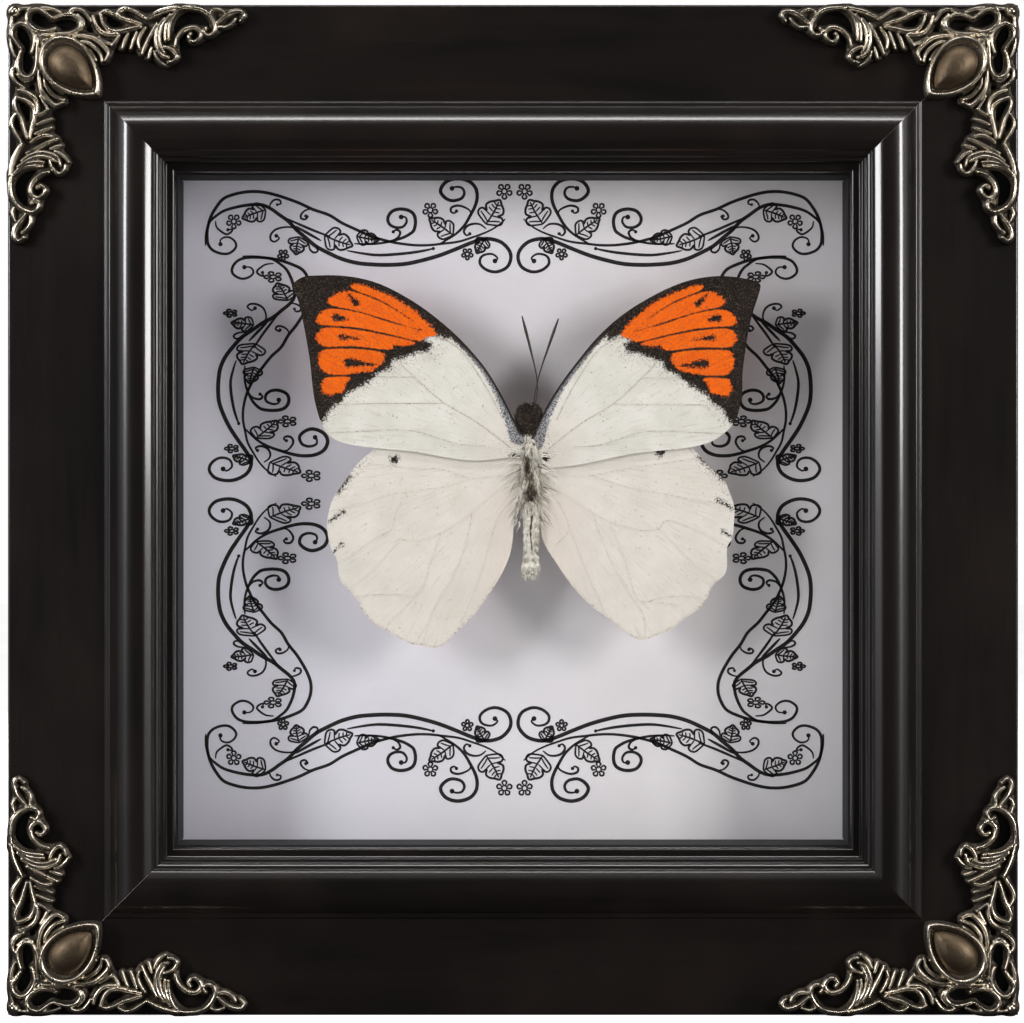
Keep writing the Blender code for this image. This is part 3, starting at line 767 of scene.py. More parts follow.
# One leg of a corner casting, as raised strokes (half width, crest height, points). Points are
# distances along the frame's side and in from its edge; the other leg is the mirror image.
CAST_REACH = 48.6
CAST_STEP = 0.16
CAST_WEB = 0.24
CAST_BLEND = 0.42
STROKE_SPREAD = 1.36
STROKE_REACH = 1.5
WEB_HEIGHT = 1.0
CAST_STROKES = [
    (1.00, 2.6, [(1.4, 1.6), (1.6, 1.6)]),
    (0.38, 1.9, [(2.4, 1.0), (5.5, 0.8), (8.5, 0.9), (10.5, 1.6)]),
    (0.45, 2.5, [(8.8, 2.7), (7.8, 2.0), (6.4, 1.1), (5.1, 1.2), (4.1, 2.1), (4.0, 3.4), (5.0, 4.6),
                 (6.4, 5.4), (8.1, 5.4), (9.7, 4.9)]),
    (0.45, 2.5, [(9.4, 2.8), (11.0, 2.3), (12.5, 2.1), (14.0, 2.8), (14.6, 4.0), (14.0, 5.2),
                 (12.2, 5.9), (9.7, 6.0), (7.2, 6.2)]),
    (0.40, 2.3, [(12.2, 2.3), (13.0, 1.3), (14.1, 1.1), (15.2, 1.5), (16.0, 2.4), (16.6, 3.4)]),
    (0.35, 2.1, [(14.0, 2.1), (15.1, 3.4), (15.2, 4.3), (14.8, 5.1)]),
    (0.45, 2.5, [(17.1, 2.5), (17.6, 4.2), (18.8, 5.6), (20.4, 6.1), (21.8, 6.0)]),
    (0.45, 2.5, [(18.6, 2.3), (19.2, 4.0), (20.4, 5.2), (22.2, 5.5), (24.3, 5.0), (26.5, 4.6)]),
    (0.45, 2.5, [(18.5, 2.1), (19.6, 1.6), (21.2, 2.0), (22.9, 2.9), (24.9, 3.5), (26.5, 4.0)]),
    (0.40, 2.3, [(21.8, 1.9), (22.8, 1.2), (23.9, 1.0), (25.3, 1.5), (26.7, 2.4), (27.7, 3.0)]),
    (0.50, 2.6, [(27.7, 3.0), (29.2, 2.2), (31.1, 1.4), (33.9, 0.8)]),
    (0.50, 2.6, [(34.1, 1.0), (35.8, 0.8), (38.2, 1.1), (39.9, 2.1), (41.0, 3.8), (41.2, 5.2),
                 (40.5, 6.2), (39.5, 6.3), (38.8, 5.6), (39.3, 4.9)]),
    (0.50, 2.6, [(33.3, 8.3), (33.7, 6.9), (34.7, 5.6), (35.8, 4.9), (37.2, 4.7), (38.2, 5.4),
                 (38.4, 6.4), (37.6, 7.4), (36.6, 7.6), (35.9, 6.7), (36.3, 6.0)]),
    (0.35, 1.9, [(40.1, 1.6), (41.5, 1.1), (42.9, 1.6)]),
    (0.45, 2.2, [(41.3, 4.0), (42.5, 3.0), (43.8, 2.0), (45.2, 1.5), (46.4, 1.6), (46.9, 2.4),
                 (46.2, 3.4)]),
    (0.40, 2.0, [(41.7, 4.6), (43.3, 4.7), (44.6, 3.9), (45.2, 3.0)]),
    (0.40, 2.4, [(27.4, 4.8), (26.5, 6.1), (26.0, 7.5), (26.2, 8.9)]),
    (0.42, 2.4, [(29.6, 4.0), (28.4, 6.3), (27.4, 8.3), (26.7, 10.0)]),
    (0.42, 2.5, [(31.1, 3.0), (29.8, 5.0), (29.4, 7.1), (29.8, 8.9), (30.6, 10.2), (31.9, 10.6)]),
    (0.40, 2.5, [(32.3, 2.2), (30.8, 4.4), (30.2, 6.5), (30.4, 8.3), (31.1, 9.7)]),
    (0.38, 2.4, [(33.5, 1.5), (31.9, 3.4), (31.3, 5.6), (31.3, 7.3)]),
    (0.38, 2.3, [(34.1, 1.1), (32.7, 2.8), (32.1, 4.8), (32.0, 7.1)]),
    (0.42, 2.3, [(31.1, 8.5), (32.3, 8.9), (33.3, 9.7), (33.6, 10.6), (32.9, 11.4), (31.9, 11.6)]),
    (0.38, 2.0, [(28.6, 8.7), (28.2, 10.0), (28.0, 10.8)]),
    (0.38, 2.0, [(29.2, 9.5), (29.6, 10.6), (30.4, 11.6), (31.3, 12.2)]),
    (0.35, 1.9, [(18.3, 6.6), (19.6, 7.5), (21.0, 8.1)]),
    (0.35, 2.0, [(22.2, 6.3), (21.4, 7.5), (20.8, 8.3)]),
    (0.35, 2.0, [(23.9, 6.0), (23.3, 7.3), (22.8, 8.9)]),
    (0.35, 2.0, [(25.7, 5.6), (25.1, 7.1), (24.5, 8.9)]),
    (0.50, 2.5, [(13.3, 6.4), (15.1, 6.4), (17.1, 6.8), (18.7, 7.9), (19.9, 9.2), (20.1, 10.1),
                 (19.6, 11.2)]),
    (0.42, 2.3, [(14.1, 7.5), (15.8, 7.6), (17.4, 8.6), (18.4, 9.8), (18.9, 11.4)]),
    (0.35, 2.1, [(14.4, 7.9), (16.3, 9.2), (17.7, 11.1)]),
    (0.40, 2.0, [(5.6, 6.0), (6.6, 6.8), (8.0, 6.8)]),
]
BOSS_CENTRE = 18.35
BOSS_HALF_LENGTH = 7.67
BOSS_HALF_WIDTH = 5.9
# Height of the boss against the share of the way out to its rim
BOSS_HEIGHTS = [
    (0.0, 4.85), (0.15, 4.80), (0.3, 4.62), (0.45, 4.25), (0.58, 3.70), (0.67, 3.05), (0.72, 2.45),
    (0.76, 2.35), (0.79, 2.75), (0.84, 3.40), (0.90, 3.62), (0.96, 3.30), (1.0, 2.3), (1.04, 0.9),
]
DOME_SHARE = 0.72
RIM_SHARE = 1.04
CAST_TOP = 4.88
CAST_DETAIL_KEPT = 0.5


def boss_share(along, inset):
    """Share of the way from the boss's middle to its teardrop rim, at each point."""
    turns = np.linspace(0, math.tau, 240, endpoint=False)
    rim_ahead = BOSS_HALF_LENGTH * np.cos(turns)
    rim_aside = BOSS_HALF_WIDTH * np.sin(turns) * np.sqrt(np.sin(turns / 2))
    rim_angle = np.arctan2(rim_aside, rim_ahead)
    order = np.argsort(rim_angle)
    ahead = (along + inset) / math.sqrt(2) - BOSS_CENTRE
    aside = (inset - along) / math.sqrt(2)
    reach = np.interp(np.arctan2(aside, ahead), rim_angle[order],
                      np.hypot(rim_ahead, rim_aside)[order], period=math.tau)
    return np.hypot(ahead, aside) / reach, reach


def make_ornaments():
    """One height field over half a corner, mirrored in its diagonal, then set in each corner."""
    along, inset = grid_axes((0.0, 0.0), (CAST_REACH, CAST_REACH), CAST_STEP)
    fill = np.full(along.shape, 1e-12)
    height = np.zeros(along.shape)
    for half_width, crest, route in CAST_STROKES:
        path = smooth_curve(route, 5)
        distance, place = distance_to_path(along, inset, path, half_width + STROKE_REACH)
        taper = 0.6 + 0.4 * np.sin(math.pi * np.clip(place, 0.06, 0.94)) ** 0.5
        width = STROKE_SPREAD * half_width * taper
        fill = fill + np.exp(np.clip((width - distance) / CAST_BLEND, -30, 30))
        share = np.clip(1 - (distance / width) ** 2, 0, 1)
        height = np.maximum(height, WEB_HEIGHT + (crest - WEB_HEIGHT) * share ** 0.6)
    inside = CAST_BLEND * np.log(fill + fill.T) + CAST_WEB
    height = np.maximum(np.maximum(height, height.T), WEB_HEIGHT)
    share, reach = boss_share(along, inset)
    inside = np.maximum(inside, (1.03 - share) * reach)
    boss_height = np.interp(share, *zip(*BOSS_HEIGHTS))
    boss_height = np.maximum(boss_height, np.where(share > 0.95, height, 0))
    height = np.where(share < RIM_SHARE, boss_height, height)
    height = np.where(inside < 0.12, np.minimum(height, 0.75 * height + 0.1), height)
    height = np.minimum(height, CAST_TOP)

    points, faces, used = grid_solid(along, inset, inside, height, np.zeros(height.shape), CAST_STEP)
    count = len(points) // 2
    on_dome = share[used] < DOME_SHARE
    mesh = bpy.data.meshes.new("casting_master")
    mesh.from_pydata(points.tolist(), [], faces)
    face_outwards(mesh)
    corner = np.zeros(len(mesh.loops), np.int32)
    mesh.loops.foreach_get("vertex_index", corner)
    starts = np.zeros(len(mesh.polygons), np.int32)
    mesh.polygons.foreach_get("loop_start", starts)
    first = corner[starts]
    dome_face = np.where(first < count, on_dome[np.minimum(first, count - 1)], False)
    mesh.materials.append(cast_metal)
    mesh.materials.append(dome_metal)
    mesh.polygons.foreach_set("material_index", dome_face.astype(np.int32))
    master = bpy.data.objects.new("casting_master", mesh)
    bpy.context.scene.collection.objects.link(master)
    thin = master.modifiers.new("thin", "DECIMATE")
    thin.ratio = CAST_DETAIL_KEPT
    bpy.context.view_layer.update()
    reduced = bpy.data.meshes.new_from_object(master.evaluated_get(bpy.context.evaluated_depsgraph_get()))
    bpy.data.objects.remove(master)

    local = np.zeros(len(reduced.vertices) * 3)
    reduced.vertices.foreach_get("co", local)
    local = local.reshape(-1, 3)
    for name, flip_x, flip_z in (("top_left", -1, 1), ("top_right", 1, 1),
                                 ("bottom_left", -1, -1), ("bottom_right", 1, -1)):
        placed = reduced.copy()
        placed.name = f"cast_corner_{name}"
        world = np.stack([flip_x * (HALF_SIDE - local[:, 0]), ORNAMENT_Y - local[:, 2],
                          MIDDLE_Z + flip_z * (HALF_SIDE - local[:, 1])], axis=1)
        placed.vertices.foreach_set("co", (world * MM).ravel())
        face_outwards(placed)
        place_piece(f"cast_corner_{name}", placed, (f"corner_ornament_{name}",), 70)


# Wings ------------------------------------------------------------------------------------------

# Outlines and marks as (distance out from the body's axis, height above the middle of the thorax)
WING_STEP = 0.25
WING_THICKNESS = 0.14
WING_LIFT = 0.9
WING_LENGTH = 45
WING_ROOT_UP = 3.0
FOREWING_CREASE = 0.035
HINDWING_CREASE = 0.05
VEIN_RIDGE = 0.07
VEIN_HALF_WIDTH = 0.24
CELL_SAG = 0.08
VEIN_REACH = 2.5
VEIN_LIMIT = 2.0
# The right forewing is this much narrower than the left, whose marks it shares
RIGHT_SQUEEZE = 0.967
# Outline points that run along a forewing's leading edge
LEADING_POINTS = 14
FOREWING_LEFT = [
    (1.9, 7.5), (3.8, 11.3), (5.9, 15.4), (8.6, 19.9), (11.4, 23.4), (14.8, 27.0), (18.6, 30.3),
    (22.1, 32.9), (25.9, 35.2), (30.0, 37.2), (34.2, 38.4), (38.3, 38.9), (41.8, 38.9),
    (44.9, 38.7), (46.6, 37.9), (47.6, 36.7), (46.9, 35.1), (46.2, 33.4), (45.5, 30.3),
    (44.7, 26.1), (44.0, 21.7), (43.6, 17.9), (43.1, 14.1), (42.3, 11.0), (41.8, 9.6), (40.9, 7.8),
    (39.3, 6.3), (36.9, 5.3), (32.8, 4.6), (27.9, 4.1), (22.8, 3.6), (18.3, 2.8), (14.1, 2.1),
    (10.0, 1.9), (6.2, 2.3), (3.1, 2.7), (0.6, 4.0),
]
FOREWING_RIGHT = [
    (0.1, 5.8), (1.8, 9.6), (3.9, 13.7), (6.6, 17.9), (9.7, 22.0), (12.8, 25.8), (15.9, 28.9),
    (19.4, 31.7), (22.9, 33.9), (27.3, 36.2), (31.8, 37.9), (36.3, 38.7), (39.8, 38.7),
    (43.2, 38.2), (45.4, 37.5), (46.1, 36.7), (45.4, 34.1), (44.4, 31.0), (43.5, 26.8),
    (42.9, 22.7), (42.5, 19.2), (42.4, 15.4), (41.8, 12.0), (41.0, 9.8), (39.8, 8.2), (37.7, 6.5),
    (35.3, 5.3), (31.1, 4.4), (26.3, 3.9), (21.5, 3.4), (16.6, 2.5), (12.5, 1.6), (9.4, 1.0),
    (4.9, 0.6), (2.2, 1.6), (0.4, 3.4),
]
HINDWING_LEFT = [
    (28.8, 5.0), (31.5, 3.9), (34.1, 1.7), (36.1, -0.8), (38.6, -4.4), (39.9, -6.9), (40.6, -10.3),
    (40.4, -13.2), (39.8, -15.7), (38.5, -18.2), (38.3, -20.9), (37.4, -22.9), (34.6, -25.8),
    (33.8, -27.7), (31.8, -30.2), (28.8, -32.1), (24.8, -34.4), (21.5, -35.2), (19.0, -35.6),
    (16.9, -34.7), (14.2, -32.0), (10.9, -28.7), (8.2, -24.9), (5.6, -20.7), (4.0, -16.9),
    (3.4, -13.2), (3.2, -9.3), (2.6, -5.9), (1.2, -1.0), (2.0, 3.0), (10.0, 6.0), (20.0, 7.0),
]
HINDWING_RIGHT = [
    (28.0, 6.0), (32.5, 4.2), (34.2, 2.5), (36.2, 0.5), (38.7, -1.8), (40.0, -4.6), (40.9, -7.6),
    (40.8, -10.6), (40.5, -13.6), (39.4, -15.6), (39.4, -19.6), (38.5, -21.4), (36.4, -23.2),
    (35.7, -25.2), (33.9, -27.7), (30.9, -29.7), (28.5, -31.7), (25.6, -33.0), (21.9, -34.0),
    (18.6, -32.0), (15.3, -29.5), (12.6, -27.5), (9.9, -24.9), (7.3, -21.6), (5.0, -18.2),
    (3.1, -15.2), (2.3, -12.6), (2.4, -8.6), (2.2, -4.9), (1.0, -1.0), (2.0, 2.6), (10.0, 5.6),
    (20.0, 6.6),
]
ORANGE_CELLS = [
    [(18.7, 27.1), (21.7, 30.6), (25.9, 33.7), (30.0, 35.6), (33.5, 36.9), (35.7, 37.0),
     (34.9, 36.0), (30.0, 34.1), (25.2, 31.1), (21.7, 28.2)],
    [(22.1, 28.2), (25.2, 30.8), (30.0, 33.6), (34.9, 35.5), (37.3, 35.8), (39.3, 34.9),
     (40.3, 33.7), (39.3, 32.9), (34.2, 31.8), (27.9, 29.9)],
    [(22.4, 27.9), (27.9, 29.4), (34.2, 31.4), (39.7, 32.2), (41.8, 31.3), (42.5, 30.1),
     (41.8, 29.1), (34.9, 28.6), (27.9, 27.2), (22.5, 26.0)],
    [(22.9, 25.4), (27.9, 26.7), (34.9, 28.0), (40.7, 28.4), (42.3, 27.5), (42.7, 26.4),
     (41.8, 25.2), (40.4, 24.7), (34.9, 24.8), (28.3, 24.1), (27.2, 25.0), (25.9, 24.9)],
    [(29.2, 23.0), (30.7, 23.7), (34.9, 24.1), (40.4, 24.1), (41.8, 23.4), (42.2, 21.7),
     (41.4, 19.9), (40.0, 19.2), (36.2, 19.2), (32.8, 19.8), (30.7, 20.5), (29.5, 21.7)],
    [(36.0, 18.5), (40.7, 18.4), (41.3, 17.5), (41.7, 16.5), (40.9, 15.2), (38.8, 15.3),
     (37.4, 15.8), (36.9, 17.2)],
    [(22.1, 27.9), (18.8, 27.1), (20.9, 26.5), (22.2, 25.8)],
]
DARK_TIP = [
    (14.6, 28.4), (16.2, 26.1), (18.1, 26.7), (18.8, 26.9), (21.0, 26.1), (19.5, 25.4), (20.0, 23.7),
    (22.8, 23.4), (25.5, 22.4), (27.4, 21.8), (27.9, 20.3), (30.7, 19.1), (32.3, 17.5), (34.2, 16.5),
    (36.6, 15.1), (37.6, 13.7), (40.0, 12.0), (40.7, 10.3), (41.8, 9.2), (46.0, 9.0), (50.0, 38.0),
    (47.0, 42.0), (30.0, 42.0), (15.0, 32.0),
]
# Black marks on the orange: (radius at the start, radius at the end, points)
TIP_MARKS = [
    (0.69, 0.28, [(34.7, 33.4), (36.4, 35.2)]),
    (0.90, 0.20, [(38.8, 30.5), (36.6, 30.2)]),
    (0.59, 0.07, [(37.8, 26.6), (33.8, 26.2)]),
    (0.97, 0.07, [(36.2, 21.5), (33.3, 21.2), (30.5, 21.0)]),
]
FOREWING_VEINS = [
    [(3.8, 4.4), (10.7, 9.6), (17.2, 13.4), (23.1, 18.6), (25.9, 22.0), (22.2, 25.4), (22.2, 27.9)],
    [(17.2, 13.4), (21.0, 13.3), (30.0, 13.3), (39.0, 13.0), (43.0, 12.6)],
    [(23.1, 18.6), (27.9, 18.6), (32.8, 18.7), (41.8, 18.7), (44.0, 18.6)],
    [(9.0, 4.8), (14.1, 5.1), (17.6, 6.1), (22.8, 7.7), (27.9, 8.0), (34.2, 7.7), (41.0, 7.4)],
    [(5.5, 10.3), (9.6, 17.9), (14.8, 24.8), (22.2, 28.0), (30.0, 33.8), (37.0, 36.6), (44.0, 37.6)],
    [(22.3, 27.9), (28.0, 29.7), (34.2, 31.6), (41.0, 32.6), (46.0, 33.0)],
    [(22.3, 25.7), (28.0, 26.9), (34.9, 28.3), (42.0, 28.7), (45.0, 28.6)],
    [(25.9, 22.0), (28.3, 23.8), (34.9, 24.4), (42.0, 24.4), (44.2, 24.2)],
]
HINDWING_VEINS_LEFT = [
    [(4.2, -1.0), (8.2, -1.4), (11.9, -1.6), (14.2, -1.0), (16.9, 0.0), (20.8, 0.4), (25.5, 0.5),
     (33.0, 1.4)],
    [(11.9, -1.6), (14.2, -2.5), (17.2, -3.4), (20.8, -3.8), (24.8, -4.4), (28.8, -5.1),
     (32.8, -6.6), (38.5, -8.0)],
    [(3.6, -2.4), (6.2, -4.0), (8.5, -5.9), (11.5, -8.6), (14.9, -10.9), (17.8, -12.6),
     (21.5, -14.1), (26.1, -13.9)],
    [(24.8, -4.6), (26.8, -8.5), (27.8, -11.9), (30.1, -13.2), (32.8, -14.9), (35.5, -16.9),
     (38.2, -18.4)],
    [(26.1, -13.9), (29.0, -17.5), (32.5, -21.0), (36.4, -24.0)],
    [(17.8, -12.6), (20.0, -19.0), (22.2, -24.7), (27.5, -24.9), (31.8, -25.0), (34.5, -25.2)],
    [(11.5, -8.6), (13.0, -15.0), (15.5, -21.6), (17.5, -24.6), (19.2, -27.9), (20.5, -31.2),
     (21.5, -34.9)],
    [(22.2, -24.7), (25.5, -28.0), (27.8, -30.2), (28.8, -32.0)],
    [(3.6, -4.8), (6.6, -10.0), (8.4, -16.0), (10.6, -23.0), (13.6, -30.0)],
]
HINDWING_VEINS_RIGHT = [
    [(3.6, -1.4), (8.0, -1.2), (12.6, -1.1), (20.0, 0.4), (27.0, 1.4), (33.8, 2.4)],
    [(12.6, -1.1), (17.9, -3.0), (24.0, -4.2), (31.0, -5.6), (40.0, -7.0)],
    [(3.6, -2.6), (8.0, -5.6), (12.6, -8.6), (15.9, -10.3), (22.2, -12.1), (25.9, -11.8)],
    [(25.9, -11.8), (27.6, -10.1), (33.2, -11.9), (39.5, -15.4)],
    [(25.9, -11.8), (29.0, -15.0), (33.0, -19.0), (37.6, -22.2)],
    [(12.6, -8.6), (14.6, -14.6), (17.2, -20.2), (20.2, -25.2), (22.2, -27.9), (22.9, -30.2),
     (23.2, -33.4)],
    [(15.9, -10.3), (19.0, -18.0), (21.6, -26.0), (26.0, -25.6), (30.5, -25.2), (34.8, -25.8)],
    [(22.2, -26.2), (29.9, -27.2), (30.7, -29.5)],
    [(2.8, -4.8), (5.3, -5.9), (7.6, -10.6), (7.3, -12.9), (5.1, -14.9)],
    [(7.6, -10.6), (9.6, -16.0), (12.0, -22.0), (15.0, -28.6)],
]
# Small dark marks on a hindwing: (radius, points)
HIND_MARKS_LEFT = [
    (0.8, [(27.1, 2.0), (27.5, 2.1)]), (0.28, [(37.4, -8.4), (40.3, -10.4)]),
    (0.28, [(37.8, -14.8), (39.3, -16.4)]), (0.3, [(36.1, -1.4), (37.4, -3.2), (38.6, -4.6)]),
]
HIND_MARKS_RIGHT = [
    (0.8, [(26.0, 3.6), (26.4, 3.7)]), (0.16, [(26.2, 3.6), (26.2, 6.0)]),
    (0.28, [(37.5, -5.9), (40.4, -7.6)]), (0.28, [(38.7, -12.2), (39.9, -13.1)]),
    (0.3, [(33.9, 2.5), (36.4, 0.4), (38.7, -2.0)]),
]


def path_field(out, up, routes, reach):
    """Least distance to any of several smooth routes."""
    best = np.full(out.shape, FAR)
    for route in routes:
        distance, _ = distance_to_path(out, up, smooth_curve(route), reach)
        best = np.minimum(best, distance)
    return best


def cell_field(out, up, cells):
    """Signed distance into the union of several smooth cells."""
    best = np.full(out.shape, -FAR)
    for cell in cells:
        outline = smooth_curve(cell, 3, closed=True)
        best = np.maximum(best, signed_distance(out, up, outline))
    return best


def mark_field(out, up, marks):
    """Signed distance into tapered marks, positive inside."""
    best = np.full(out.shape, -FAR)
    for first_radius, last_radius, route in marks:
        distance, place = distance_to_path(out, up, np.array(route), 3.0)
        radius = first_radius + (last_radius - first_radius) * place
        best = np.maximum(best, radius - distance)
    return best


def forewing_marks(out, up, outline, squeeze):
    """Colour fields of a forewing; `squeeze` fits the left wing's marks to a narrower wing."""
    to_lead, _ = distance_to_path(out, up, smooth_curve(outline[:LEADING_POINTS]))
    mark_out = out / squeeze
    mark_up = up + (0.2 if squeeze < 1 else 0.0)
    orange = cell_field(mark_out, mark_up, ORANGE_CELLS)
    orange = np.minimum(orange, -mark_field(mark_out, mark_up, TIP_MARKS))
    tip = signed_distance(mark_out, mark_up, np.array(DARK_TIP))
    strip_width = 1.1 + 0.6 * soft_step(-up, -17.0, -10.0) + 0.9 * soft_step(-up, -11.0, -5.0)
    strip = 2.0 * (strip_width - to_lead)
    vein = path_field(mark_out, mark_up, FOREWING_VEINS, VEIN_REACH)
    base = np.hypot(out - 1.0, up - 5.0)
    root_patch = 0.9 - np.hypot(out - 3.0, up - 2.6)
    return {
        "orange": orange,
        "dark": np.maximum(np.maximum(tip, strip), root_patch),
        "grey": soft_step(-up, -28.0, -18.0) * soft_step(to_lead, 0.2, 0.8) * (to_lead < 4.0),
        "vein": np.minimum(vein, VEIN_LIMIT),
        "warm": 0.40 * soft_step(-base, -16.0, -3.0),
        "specks": 0.5 * soft_step(-base, -6.0, -2.5) + 0.5 * soft_step(tip, -3.0, -0.4),
    }, vein


def hindwing_marks(out, up, inside, veins, marks):
    """Colour fields of a hindwing."""
    vein = path_field(out, up, veins, VEIN_REACH)
    spots = mark_field(out, up, [(radius, radius * 0.7, route) for radius, route in marks])
    base = np.hypot(out - 1.0, up)
    inner = soft_step(-out, -15.0, -4.0) * soft_step(-up, 0.0, 8.0)
    rim = soft_step(-inside, -0.75, -0.1) * soft_step(-up, 19.0, 24.0)
    outer = soft_step(-inside, -2.6, -0.3) * soft_step(up, -9.0, -3.0) * soft_step(out, 29.0, 34.0)
    return {
        "orange": np.full(out.shape, -1.0),
        "dark": spots,
        "grey": np.zeros(out.shape),
        "vein": np.minimum(vein + 0.05, VEIN_LIMIT),
        "warm": np.maximum(0.32 + 0.5 * inner, 0.9 * rim),
        "specks": np.clip(0.75 * outer + 0.15 * soft_step(-base, -6.0, -2.0) + 0.75 * rim, 0, 1),
    }, vein


def make_wing(kind, side, outline, crease, marks_of):
    """Thin closed sheet in a wing's outline, with raised veins and gentle folds between them."""
    rim = smooth_curve(outline, 3, closed=True)
    out, up = grid_axes(rim.min(axis=0) - 0.6, rim.max(axis=0) + 0.6, WING_STEP)
    inside = signed_distance(out, up, rim)
    fields, vein = marks_of(out, up, inside)
    low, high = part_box(f"{kind}_{side}")
    middle_y = (low.y + high.y) / 2 / MM
    sign = -1 if side == "left" else 1
    root = np.hypot(out, up - WING_ROOT_UP)
    angle = np.arctan2(up - WING_ROOT_UP, out)
    relief = VEIN_RIDGE * np.exp(-(vein / VEIN_HALF_WIDTH) ** 2) - CELL_SAG * soft_step(vein, 0.3, 2.4)
    folds = crease * np.sin(angle * 31.0 + 0.25 * root) * soft_step(root, 6.0, 16.0)
    waves = 0.16 * np.sin(out * 0.31 + up * 0.17) + 0.12 * np.sin(up * 0.43 - out * 0.11)
    lift = WING_LIFT * (np.clip(out, 0, 50) / WING_LENGTH) ** 2
    front = lift + waves + folds + relief
    back = front - WING_THICKNESS + 0.07 * soft_step(0.5 - inside, 0.0, 0.5)
    points, faces, used = grid_solid(out, up, inside, front, back, WING_STEP)
    world = np.stack([SPECIMEN_X + sign * points[:, 0], middle_y - points[:, 2],
                      SPECIMEN_Z + points[:, 1]], axis=1)
    numbers = {key: np.tile(values[used], 2) for key, values in fields.items()}
    rays = np.stack([angle * 64.0, root / 5.0, np.zeros(out.shape)], axis=-1)[used]
    make_piece(f"scaled_{kind}_{side}", world, faces, wing_scales, (f"{kind}_{side}",),
               sharp=60, numbers=numbers, vectors={"rays": np.tile(rays, (2, 1))})


def make_wings():
    for side, outline, squeeze in (("left", FOREWING_LEFT, 1.0),
                                   ("right", FOREWING_RIGHT, RIGHT_SQUEEZE)):
        make_wing("forewing", side, outline, FOREWING_CREASE,
                  lambda out, up, inside: forewing_marks(out, up, outline, squeeze))
    for side, outline, veins, marks in (
            ("left", HINDWING_LEFT, HINDWING_VEINS_LEFT, HIND_MARKS_LEFT),
            ("right", HINDWING_RIGHT, HINDWING_VEINS_RIGHT, HIND_MARKS_RIGHT)):
        make_wing("hindwing", side, outline, HINDWING_CREASE,
                  lambda out, up, inside: hindwing_marks(out, up, inside, veins, marks))


# Body -------------------------------------------------------------------------------------------

# (height above the middle of the thorax, middle, half width, half depth, tone from dark to cream)
BODY_RINGS = [
    (13.4, -0.2, 0.6, 0.4, 0.05), (12.9, -0.2, 1.7, 0.8, 0.05), (12.0, -0.2, 2.5, 1.0, 0.1),
    (10.8, -0.2, 2.9, 1.1, 0.1), (9.6, -0.2, 2.8, 1.1, 0.1), (8.6, -0.2, 2.3, 1.0, 0.1),
    (7.6, -0.1, 1.8, 0.9, 0.15), (6.4, 0.0, 1.7, 1.1, 0.3), (5.2, 0.0, 1.9, 1.7, 0.35),
    (2.8, 0.0, 2.3, 2.0, 0.4), (0.5, 0.0, 2.4, 2.1, 0.4), (-2.0, 0.0, 2.3, 2.1, 0.4),
    (-4.4, 0.1, 2.2, 2.0, 0.4), (-6.2, 0.2, 1.9, 2.1, 0.6), (-7.4, 0.3, 1.65, 1.8, 0.8),
    (-9.0, 0.3, 1.7, 1.8, 0.82), (-11.0, 0.3, 1.6, 1.75, 0.82), (-13.0, 0.25, 1.6, 1.7, 0.82),
    (-15.0, 0.2, 1.5, 1.6, 0.82), (-16.8, 0.2, 1.45, 1.5, 0.82), (-18.2, 0.2, 1.7, 1.6, 0.85),
    (-19.6, 0.2, 1.9, 1.75, 0.85), (-20.8, 0.2, 1.75, 1.4, 0.85), (-21.4, 0.2, 1.2, 0.9, 0.8),
    (-21.7, 0.2, 0.5, 0.4, 0.8),
]
BODY_SEGMENTS = 40
BODY_STEP = 0.25
# From and up to which height each part of the body carries its own hair
THORAX = (-7.0, 7.2)
ABDOMEN = (-21.4, -6.8)
HEAD = (7.0, 13.3)
# Dark patches on the thorax as (x, up, half width, half height)
BARE_PATCHES = [(-0.5, 0.3, 0.8, 1.4), (0.4, -2.5, 0.7, 0.6), (0.1, -5.4, 1.3, 1.0)]
ROOT_HAIRS = 70


def body_surface(turn, up):
    """Point on the body's skin, its direction out, and its tone."""
    rings = np.array(sorted(BODY_RINGS))
    middle, half_width, half_depth, tone = (np.interp(up, rings[:, 0], rings[:, column])
                                            for column in (1, 2, 3, 4))
    segment = 0.05 * np.cos(math.tau * (up + 7.0) / 1.75) * soft_step(-up, 6.5, 8.0)
    fold = math.pi / 2 + 0.12 * np.sin(up * 0.9)
    groove = 0.30 * np.exp(-((turn - fold) / 0.10) ** 2) * soft_step(-up, 7.5, 9.0)
    groove = groove * soft_step(up, -17.0, -15.0)
    swell = 1 + segment - groove
    x = middle + half_width * np.cos(turn) * swell
    toward = half_depth * np.sin(turn) * swell
    direction = np.stack([np.cos(turn) / half_width, np.sin(turn) / half_depth,
                          np.zeros(np.shape(turn))], axis=-1)
    direction /= np.linalg.norm(direction, axis=-1)[..., None]
    tone = tone - 0.5 * (groove > 0.08)
    return np.stack([x, toward, up * np.ones(np.shape(turn))], axis=-1), direction, tone


def to_world(local):
    """(x from the axis, towards the viewer, up) to the frame's own axes."""
    local = np.asarray(local, float)
    return np.stack([SPECIMEN_X + local[..., 0], BODY_Y - local[..., 1],
                     SPECIMEN_Z + local[..., 2]], axis=-1)


